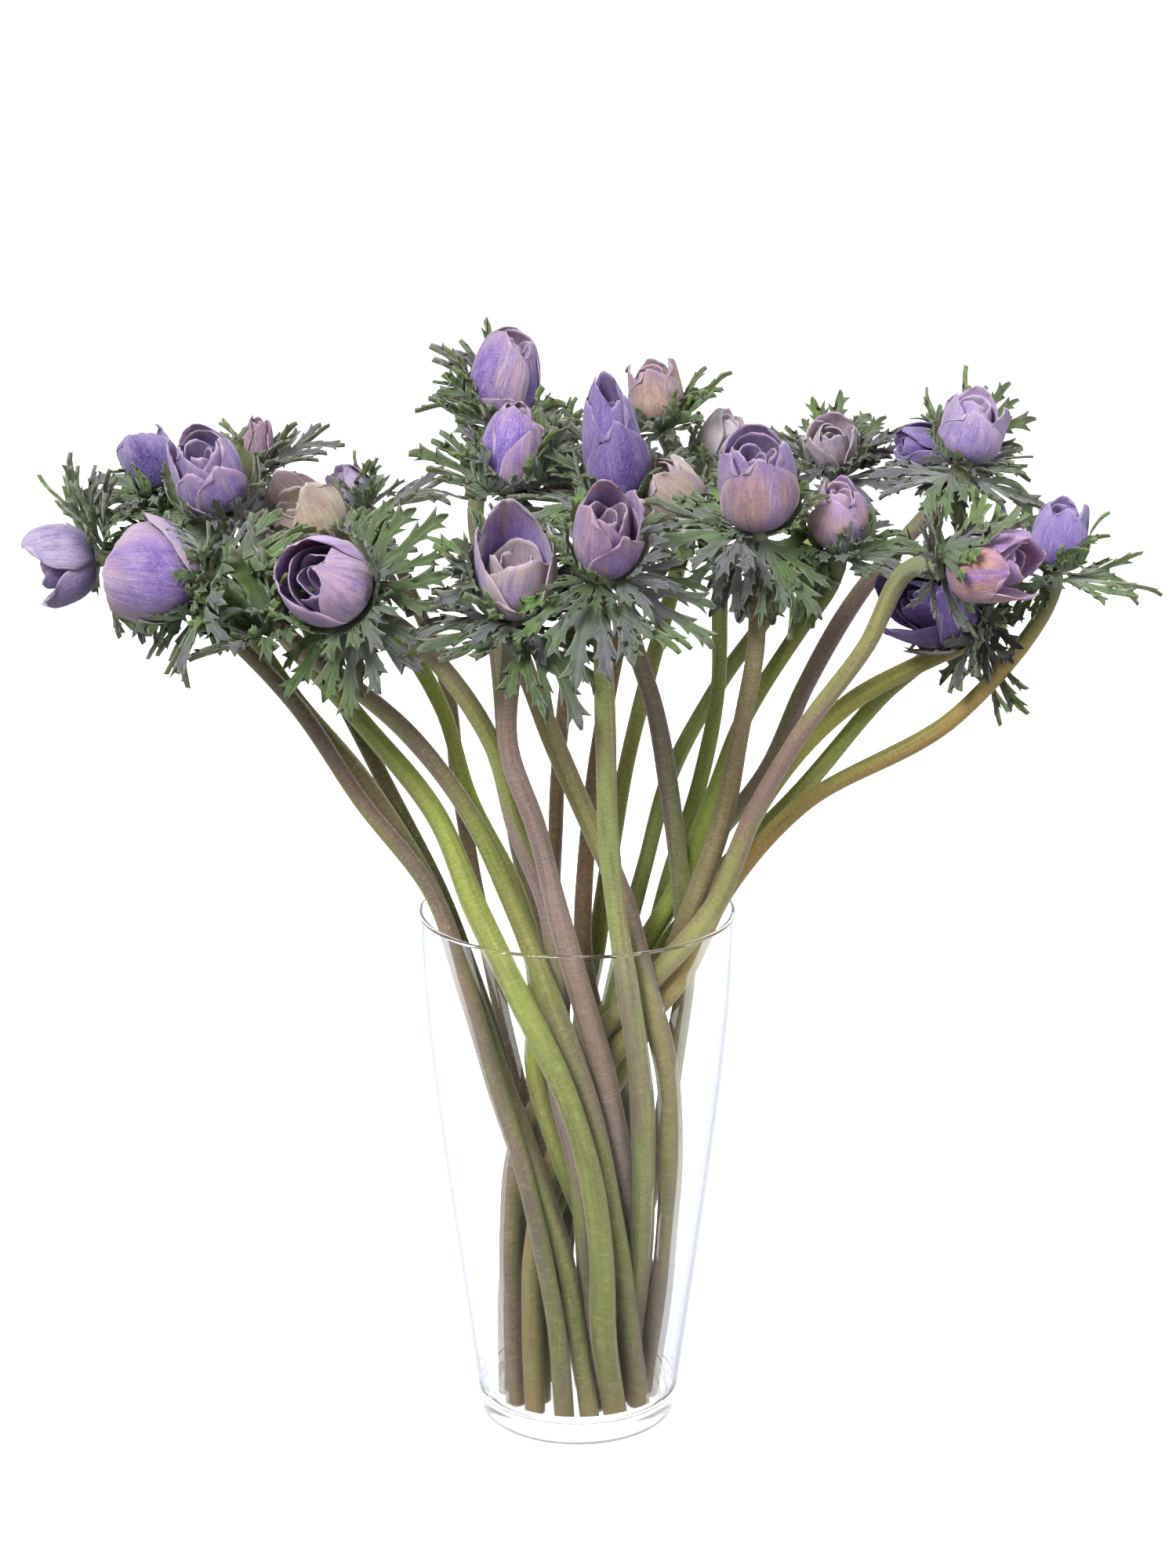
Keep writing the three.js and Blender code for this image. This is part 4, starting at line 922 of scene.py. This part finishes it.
def make_cane(number, flower, bends):
    """A stem from its cut end to the bloom, swollen where the ruff grows out of it."""
    way = bends[1] - bends[0]
    way /= np.linalg.norm(way)
    radius = STEM_RADIUS * flower["thick"]
    foot = bends[0] + way * (STEM_RADIUS * math.hypot(way[0], way[1]) / way[2])
    line = rooted_curve([foot, *bends[1:], seen(flower["at"])], 60 * len(bends))
    walked = np.concatenate([[0], np.cumsum(np.linalg.norm(np.diff(line, axis=0), axis=1))])
    whole = walked[-1]
    stops = np.linspace(0, whole, int(whole / STEM_STEP))
    line = np.stack([np.interp(stops, walked, line[:, k]) for k in range(3)], 1)
    sides, ways = ring_frames(line)
    left = whole - stops
    size = radius * (STEM_FOOT - STEM_TAPER * smooth(stops, 0.35 * whole, 0.95 * whole))
    (long_way, long_swell), (short_way, short_swell) = LONG_WAVE, SHORT_WAVE
    slow = long_swell * np.sin(stops / long_way + 6 * draw(number, 60))
    size *= 1 + slow + short_swell * np.sin(stops / short_way + number)
    size += RUFF_SWELL * np.exp(-(((left - RUFF_DROP) / RUFF_SWELL_LONG) ** 2))
    rows = [(0, 0.0, 0.0), (0, 0.9, 0.0), (0, 1.0, 0.6), *((k, 1.0, 0.0) for k in range(1, len(stops)))]
    rows.append((len(stops) - 1, 0.0, 0.0))
    piece = grid("stem and ruff", STEM_SIDES, len(rows) - 1)
    places = corners(piece.data)
    row = np.rint((places[:, 1] + 1) / 2 * (len(rows) - 1)).astype(int)
    ring, share, lift = (np.array([r[k] for r in rows])[row] for k in range(3))
    turn = places[:, 0] * math.pi + math.pi / 2
    oval = 1 + STEM_OVAL * np.cos(2 * turn + 5 * draw(number, 61))
    across = (size[ring] * share * oval)[:, None]
    shaped = line[ring] + ways[ring] * lift[:, None]
    shaped += across * (np.cos(turn)[:, None] * sides[ring, 0] + np.sin(turn)[:, None] * sides[ring, 1])
    move_corners(piece.data, shaped * MM)
    neck = smooth(left[ring], 45, 5)
    touch(piece.data, draw(number, 62), stops[ring] / HIGHEST_SLICE, neck, (row < 2).astype(float))
    weld(piece, 0.005 * MM)
    piece.data.materials.append(stem_skin(f"Stem skin {number + 1:02d}", *flower["cane"]))
    return piece


# ---- Leaves ----

# A finger above its cut, row by row: how far up, half its width in shares of the room that it has, and
# how far its edge runs ahead of its middle, which makes the points of its teeth.
FINGER = (
    (0.0, 0.95, 0.0), (0.1, 0.5, 0.0), (0.3, 0.6, 0.0), (0.42, 0.95, 0.08), (0.44, 0.46, 0.0),
    (0.56, 0.48, 0.0), (0.65, 0.62, 0.03), (0.73, 0.88, 0.11), (0.75, 0.36, 0.0), (0.88, 0.25, 0.0),
    (1.0, 0.03, 0.0),
)
WEB_ROWS = 4
DEEP_CUT, SHALLOW_CUT = 0.27, 0.5


def leaf_pattern(name, teeth, deep_after, seed):
    """A flat leaf of unit length. Its fingers stand in threes and twos, with deep cuts between."""
    turns = [turn for turn, _ in teeth]
    cuts = []
    for i in range(len(teeth) + 1):
        deep = i == 0 or i == len(teeth) or i - 1 in deep_after
        cuts.append((DEEP_CUT if deep else SHALLOW_CUT) * (0.88 + 0.24 * draw(seed, i)))
    fingers = []
    for i, (turn, far) in enumerate(teeth):
        left = (turns[i] - turns[i - 1]) / 2 if i else 9
        right = (turns[i + 1] - turns[i]) / 2 if i + 1 < len(teeth) else 9
        finger = grid("finger", 4, WEB_ROWS + len(FINGER) - 1)
        places = corners(finger.data)
        s = places[:, 0]
        row = np.rint((places[:, 1] + 1) / 2 * (WEB_ROWS + len(FINGER) - 1)).astype(int)
        cut = np.minimum(cuts[i] + (cuts[i + 1] - cuts[i]) * (s + 1) / 2, far - 0.1)
        up, wide, ahead = (np.array(column)[np.maximum(row - WEB_ROWS, 0)] for column in zip(*FINGER))
        for side in (-1, 1):
            own = s * side > 0
            shift = 0.16 * (draw(seed + 3 * i, 7 + side) - 0.5)
            grow = 0.75 + 0.5 * draw(seed + 5 * i, 11 + side)
            up = np.where(own, up + shift * np.sin(math.pi * up), up)
            wide = np.where(own & (up > 0), np.minimum(wide * grow, 1.0), wide)
            ahead = np.where(own, ahead * (0.5 + draw(seed + 7 * i, 15 + side)), ahead)
        web = 0.05 + (cut - 0.05) * row / WEB_ROWS
        above = cut + (far - cut) * (up + ahead * np.abs(s) ** 1.5)
        away = np.where(row < WEB_ROWS, web, above)
        room = np.where(s < 0, left, right) * np.where(row <= WEB_ROWS, 1.0, wide)
        spread = 0.45 + 0.55 * smooth(away, 0.08, 0.5)
        angle = np.radians((turn + s * room) * spread)
        flat = np.stack([away * np.cos(angle), away * np.sin(angle), np.zeros(len(s))], 1)
        move_corners(finger.data, flat)
        touch(finger.data, draw(seed, 70 + i), away, np.abs(s) * np.where(row <= WEB_ROWS, 0.3, 1), 0.0)
        fingers.append(finger)
    return two_faced(join(fingers, name))


def leaf_places(leaf, x, y, above):
    """Places on a leaf in its bloom's axes, arched and waved as in the frame."""
    bend = -math.radians(LEAF_ARCH) / leaf["length"]
    lift = math.radians(leaf["lift"])
    end = lift + bend * x
    out = (np.sin(end) - math.sin(lift)) / bend
    up = (math.cos(lift) - np.cos(end)) / bend
    angle = np.arctan2(y, x + LEAF_START)
    far = np.minimum(np.hypot(x, y) / leaf["length"], 1)
    wave = LEAF_WAVE * leaf["length"] * far**2 * np.sin(LEAF_WAVES * angle + leaf["phase"]) + above
    turn = math.radians(leaf["turn"])
    cos, sin = math.cos(turn), math.sin(turn)
    rx = LEAF_START + out - wave * np.sin(end)
    rz = -leaf.get("drop", RUFF_DROP) + up + wave * np.cos(end)
    return np.stack([rx * cos - y * sin, rx * sin + y * cos, rz], 1)


def leaf_way(flower, number, index):
    """The way that a leaf took in the frame: the one whose teeth are corners of its CAD solid."""
    node = corners(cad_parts[f"stem_{number + 1:02d}"].data) / MM
    home = flower["ruff"] + 360 / RUFF_LEAVES * index
    phase = 2 * math.pi * draw(number, WAVE_DRAW + index)
    low, high = FREE_LIFT
    own = low + (high - low) * draw(number, LIFT_DRAW + index)
    lifts = sorted(LEAF_LIFTS, key=lambda lift: abs(lift - own))
    turns = np.radians([turn for turn, _ in LEAF_TEETH])
    fars = np.array([far for _, far in LEAF_TEETH])
    head = head_axes(flower)
    best, score = None, 0
    for size in LEAF_SIZES:
        for turn in LEAF_TURNS:
            for lift in lifts:
                leaf = dict(length=size * flower["leaf"], turn=home + turn, lift=lift, phase=phase)
                tips = leaf["length"] * fars
                teeth = leaf_places(leaf, tips * np.cos(turns), tips * np.sin(turns), CAD_LEAF_THICK / 2)
                gaps = placed(teeth, head)[:, None] - node[None]
                found = int((np.abs(gaps).max(-1).min(1) < 0.1).sum())
                if found > score:
                    best, score = leaf, found
    return best


def shaped_leaf(pattern, leaf, flower, seed):
    """A leaf's own copy of a flat pattern: folded along its fingers, curled, arched, clear of its bloom."""
    piece = own_copy(pattern, "leaf")
    flat = corners(piece.data)
    layer = np.empty(len(flat) * 4)
    piece.data.attributes["touch"].data.foreach_get("color", layer)
    lobe, away, edge, _ = layer.reshape(-1, 4).T
    length = leaf["length"]
    side = np.sign(flat[:, 2])
    above = side * LEAF_THICK / 2 * (1 - 0.5 * smooth(away, 0.5, 1))
    above += LEAF_FOLD * length * smooth(away, 0.2, 0.7) * edge**1.5 * (0.6 + 0.8 * draw(seed, 80))
    curl = np.sin(40 * lobe + 6 * draw(seed, 81))
    above += LEAF_CURL * length * smooth(away, 0.45, 1.0) ** 1.5 * curl
    sway = LEAF_SWAY * length * smooth(away, 0.45, 1.0) * np.sin(23 * lobe + 6 * draw(seed, 82))
    places = leaf_places(leaf, flat[:, 0] * length, flat[:, 1] * length + sway, above)
    t = np.linspace(0, 1, 30)
    belly, mouth = flower["wide"] / 2, flower["mouth"] * flower["wide"] / 2
    swell = bezier(CLAW_RADIUS, LOW_BELLY * belly, HIGH_BELLY * belly + HIGH_MOUTH * mouth, mouth, t)
    swell = np.interp(places[:, 2], flower["long"] * bezier(0, LOW_RISE, HIGH_RISE, 1, t), swell, 0, 0)
    out = np.hypot(places[:, 0], places[:, 1])
    clear = np.maximum(swell + LEAF_AIR + 0.3 * above - out, 0) * (swell > 0)
    places[:, :2] *= (1 + clear / np.maximum(out, 1))[:, None]
    move_corners(piece.data, placed(places, head_axes(flower)) * MM)
    touch(piece.data, draw(seed, 83), away, edge, (side < 0).astype(float))
    return piece


def make_ruff(number, flower, ways, patterns, small_patterns):
    """The three leaves as they stand in the frame, and shorter ones that fill the gaps between them."""
    leaves = []
    for index, leaf in enumerate(ways):
        if leaf:
            leaf["length"] *= flower.get("shorter", (1, 1, 1))[index]
            pattern = patterns[(number + index) % len(patterns)]
            leaves.append(shaped_leaf(pattern, leaf, flower, 10 * number + index))
    more = flower.get("more") or tuple(
        (
            flower["ruff"] + 360 / len(MORE_LIFTS) * (index * 2 + 0.7 * draw(number, 200 + index)),
            lift + 24 * (draw(number, 210 + index) - 0.5),
            0.5 + 0.3 * draw(number, 90 + index),
        )
        for index, lift in enumerate(MORE_LIFTS)
    )
    for index, (turn, lift, size) in enumerate(more):
        between = dict(length=flower["leaf"] * size, turn=turn, lift=lift, drop=MORE_DROP,
                       phase=6 * draw(number, 220 + index))
        pattern = small_patterns[(number + index) % len(small_patterns)]
        leaves.append(shaped_leaf(pattern, between, flower, 10 * number + 5 + index))
    return [*leaves, *make_collar(number, flower, patterns)]


def make_collar(number, flower, patterns):
    """Leaves that stand up round the neck of a flower whose ruff grows well below its bloom."""
    if "collar" not in flower:
        return []
    place, lean, length, count = flower["collar"]
    neck = dict(at=place, lean=lean, nod=COLLAR_NOD, wide=COLLAR_WIDE, mouth=1, long=length)
    leaves = []
    for index in range(count):
        leaf = dict(
            length=length * (0.8 + 0.3 * draw(number, 250 + index)),
            turn=360 / count * (index + 0.5 * draw(number, 260 + index)),
            lift=COLLAR_LIFTS[index % len(COLLAR_LIFTS)] + 10 * draw(number, 270 + index),
            phase=6 * draw(number, 280 + index),
        )
        leaves.append(shaped_leaf(patterns[index % len(patterns)], leaf, neck, 10 * number + 300 + index))
    return leaves


# ---- Blooms ----


def petal_places(flower, petal, along, across):
    """Places on a petal's middle surface in its bloom's axes, along from claw to tip, across -1 to 1."""
    ragged = 0.012 * np.sin(5 * across + petal["phase"]) + 0.006 * np.sin(15 * across + 2 * petal["phase"])
    t = along * petal["reach"] * (1 - TIP_ROUND * np.abs(across) ** 2.3 + ragged * smooth(along, 0.6, 1))
    belly, mouth = petal["belly"], petal["mouth"]
    start = max(CLAW_RADIUS - 0.3 * petal["layer"], 1.2)
    radius = bezier(start, LOW_BELLY * belly, HIGH_BELLY * belly + HIGH_MOUTH * mouth, mouth, t)
    claw = CLAW_HEIGHT + LAYER_RISE * petal["layer"]
    height = claw + (flower["long"] - claw) * bezier(0, LOW_RISE, flower.get("shoulder", HIGH_RISE), 1, t)
    wide = petal["half"] * belly * (CLAW_WIDE + CLAW_GROWS * smooth(along, 0, 0.5))
    wide = wide * np.sqrt(1 - petal["round"] * np.clip((along - 0.5) / 0.5, 0, 1) ** 2.8)
    half = np.minimum(wide / np.maximum(radius, 0.5), 2.1)
    rim = smooth(along, 0.55, 1.0) ** 1.6
    stand = petal["stand"] * np.maximum(t, 0) ** 1.5
    hem = petal["hem"] * rim * (0.6 + 0.4 * across**2)
    roll = PETAL_ROLL * np.abs(across) ** 8 * smooth(along, 0.2, 0.6) * (1 - smooth(along, 0.7, 1))
    ripple = PETAL_RIPPLE * smooth(along, 0.3, 1.0) * np.sin(4.6 * across + 3.5 * along + petal["phase"])
    hollow = -PETAL_HOLLOW * belly * smooth(along, 0.3, 0.9) * np.exp(-((across / 0.14) ** 2))
    radius = radius + stand + hem + roll + ripple + hollow
    angle = petal["angle"] + across * half + petal["twist"] * t
    return np.stack([radius * np.cos(angle), radius * np.sin(angle), height], 1)


def petals_of(flower, number):
    """The outer petals, from the outermost, then the ones folded up inside as a bud."""
    full = flower["wide"] / 2
    outer = flower.get("outer") or [
        (
            flower["turn"] + GOLDEN_TURN * k,
            OUTER_HALF,
            1 - 0.12 * draw(number, 230 + k),
            0.8 * draw(number, 235 + k),
            0.6,
            0,
        )
        for k in range(OUTER_PETALS)
    ]
    petals = []
    for k, (turn, half, reach, stand, hem, tone) in enumerate(outer):
        belly = full - PETAL_THICK - LAYER_STEP * k
        mouth = max(flower.get("opening", flower["mouth"]) * full - LAYER_STEP * k, LEAST_MOUTH)
        petals.append(dict(
            layer=k, angle=math.radians(turn), half=math.radians(half), reach=reach, belly=belly, mouth=mouth,
            stand=stand, hem=hem, tone=tone, round=flower.get("blunt", OUTER_ROUND),
        ))
    bud_wide, bud_tall, bud_mouth = flower.get("bud", BUD_SHAPE)
    for k in range(BUD_PETALS):
        layer = len(outer) + k
        belly = bud_wide * full * (1 - BUD_STEP * k)
        if belly < LEAST_BUD:
            break
        angle = math.radians(flower["turn"] + 70 + GOLDEN_TURN * k)
        reach = bud_tall * (1 - 0.03 * k - 0.04 * draw(number, 240 + k))
        petals.append(dict(
            layer=layer, angle=angle, half=BUD_HALF, reach=reach, belly=belly,
            mouth=max(bud_mouth * belly, LEAST_MOUTH),
            stand=0, hem=0.3, tone=flower.get("bud_tone", 0), round=BUD_ROUND,
        ))
    for k, petal in enumerate(petals):
        petal["phase"] = 6.28 * draw(number, 150 + k)
        petal["own"] = draw(number, 170 + k)
        petal["twist"] = 0.3 * (draw(number, 190 + k) - 0.5)
    return petals


def shaped_petal(pattern, flower, petal, number):
    """A petal's own copy of the flat pattern, with two faces, swaying with its bloom."""
    piece = own_copy(pattern, "petal")
    flat = corners(piece.data)
    across, along = flat[:, 0], (flat[:, 1] + 1) / 2
    side = np.sign(flat[:, 2])
    step = 0.01
    up = petal_places(flower, petal, along + step, across)
    up -= petal_places(flower, petal, along - step, across)
    wide = petal_places(flower, petal, along, across + step)
    wide -= petal_places(flower, petal, along, across - step)
    out = np.cross(wide, up)
    out /= np.linalg.norm(out, axis=1)[:, None]
    places = petal_places(flower, petal, along, across) + out * (side * PETAL_THICK / 2)[:, None]
    far = 2 * BLOOM_SWAYS * flower["long"] * np.maximum(places[:, 2] / flower["long"], 0) ** 2
    places[:, 0] += (draw(number, SWAY_DRAW) - 0.5) * far
    places[:, 1] += (draw(number, SWAY_DRAW + 1) - 0.5) * far
    move_corners(piece.data, placed(places, head_axes(flower)) * MM)
    touch(piece.data, petal["own"], along, np.abs(across), (side < 0).astype(float), petal["tone"])
    return piece


def make_heart(number, flower):
    """The dark seed head in the middle, which shows from above where a bloom is open."""
    piece = grid("heart", 16, 8)
    places = corners(piece.data)
    turn, up = places[:, 0] * math.pi, (places[:, 1] + 1) / 2
    knobs = 1 + 0.05 * np.sin(8 * turn) * np.sin(18 * up)
    radius = HEART_WIDE * flower["wide"] / 2 * np.sqrt(np.maximum(1 - up**2.4, 0)) * knobs
    height = flower["long"] * (HEART_START + HEART_TALL * up)
    shaped = np.stack([radius * np.cos(turn), radius * np.sin(turn), height], 1)
    move_corners(piece.data, placed(shaped, head_axes(flower)) * MM)
    touch(piece.data, draw(number, 290), 0.0, 0.0, 1.0, -0.3)
    weld(piece, 0.005 * MM)
    return piece


def make_bloom(number, flower, pattern):
    parts = [shaped_petal(pattern, flower, petal, number) for petal in petals_of(flower, number)]
    parts.append(make_heart(number, flower))
    bloom = join(parts, f"anemone_{number + 1:02d}")
    bloom.data.materials.clear()
    bloom.data.materials.append(petal_silk(f"Petal silk {number + 1:02d}", *flower["petal"]))
    finish(bloom, "petal", f"bloom_{number + 1:02d}")


# ---- The whole ----

make_vase()

leaf_finish = leaf_green("Leaf green")
leaf_patterns = [leaf_pattern(f"leaf pattern {k}", LEAF_TEETH, (1, 4), 7 * k + 1) for k in range(3)]
small_patterns = [leaf_pattern(f"small leaf pattern {k}", SMALL_TEETH, (1, 3), 7 * k + 4) for k in range(3)]
petal_pattern = two_faced(grid("petal pattern", 14, 16))

def depart(flower, line):
    """Gives a flower its departures from the CAD one, once its stem is settled. Nothing settles it again."""
    flower["lean"], flower["nod"] = flower.get("leaned", (flower["lean"], flower["nod"]))
    for side in ("long", "wide"):
        flower[side] *= flower.get("grown", 1)
    across, up, back = (*flower.get("moved", (0, 0)), 0)[:3]
    flower["at"] = (flower["at"][0] + across, flower["at"][1] + up, flower["at"][2] + back)
    line[-1] += (across, back, up)
    line[-2] += (across / 2, back / 2, up / 2)


lines = settled([first_bends(flower) for flower in FLOWERS])
for number, flower in enumerate(FLOWERS):
    ways = [leaf_way(flower, number, index) for index in range(RUFF_LEAVES)]
    depart(flower, lines[number])
    cane = make_cane(number, flower, lines[number])
    leaves = make_ruff(number, flower, ways, leaf_patterns, small_patterns)
    for leaf in leaves:
        leaf.data.materials.clear()
        leaf.data.materials.append(leaf_finish)
    dressed = join([cane, *leaves], f"stem_and_ruff_{number + 1:02d}")
    finish(dressed, "stem_and_leaf", f"stem_{number + 1:02d}")
    make_bloom(number, flower, petal_pattern)

for pattern in (*leaf_patterns, *small_patterns, petal_pattern):
    bpy.data.objects.remove(pattern)

# ---- Studio ----

bpy.ops.object.select_all(action="DESELECT")
bpy.ops.mesh.primitive_plane_add(size=160)
ground = bpy.context.active_object
ground.name = "floor"
ground.data.materials.append(studio_white("Studio white"))
ground.visible_diffuse = False

# White behind the object, and a softer light on it that comes more from above than from below.
world = bpy.data.worlds.new("Studio")
world.use_nodes = True
sky = world.node_tree
way = sky.nodes.new("ShaderNodeTexCoord")
split = sky.nodes.new("ShaderNodeSeparateXYZ")
dome = sky.nodes.new("ShaderNodeMapRange")
path = sky.nodes.new("ShaderNodeLightPath")
level = sky.nodes.new("ShaderNodeMix")
sky.links.new(way.outputs["Generated"], split.inputs[0])
sky.links.new(split.outputs["Z"], dome.inputs["Value"])
for key, value in {"From Min": -0.6, "From Max": 0.7, "To Min": 0.18, "To Max": 0.47}.items():
    dome.inputs[key].default_value = value
sky.links.new(path.outputs["Is Diffuse Ray"], level.inputs["Factor"])
level.inputs["A"].default_value = 1.0
sky.links.new(dome.outputs[0], level.inputs["B"])
sky.links.new(level.outputs[0], sky.nodes["Background"].inputs["Strength"])
sky.nodes["Background"].inputs["Color"].default_value = (1, 1, 1, 1)
bpy.context.scene.world = world


def softbox(name, place, aim, size, watts):
    """A round lamp at a place in metres, turned towards its aim."""
    bpy.ops.object.light_add(type="AREA", location=place)
    lamp = bpy.context.active_object
    lamp.name = name
    lamp.data.shape = "DISK"
    lamp.data.size = size
    lamp.data.energy = watts
    way = np.array(aim, float) - np.array(place, float)
    lamp.rotation_mode = "QUATERNION"
    lamp.rotation_quaternion = Vector(way).to_track_quat("-Z", "Y")


softbox("key light", (-0.8, -1.6, 1.9), (0, 0, 0.35), 0.9, 76)
softbox("fill light", (1.7, -1.1, 1.0), (0, 0, 0.3), 1.2, 16)
softbox("back light", (0.5, 1.8, 1.4), (0, 0, 0.35), 1.2, 36)

bpy.ops.object.camera_add(location=EYE * MM, rotation=(math.radians(90 - PITCH), 0, 0))
camera = bpy.context.active_object
camera.data.sensor_width = SENSOR
camera.data.lens = LENS
bpy.context.scene.camera = camera
bpy.context.scene.view_settings.view_transform = "Standard"
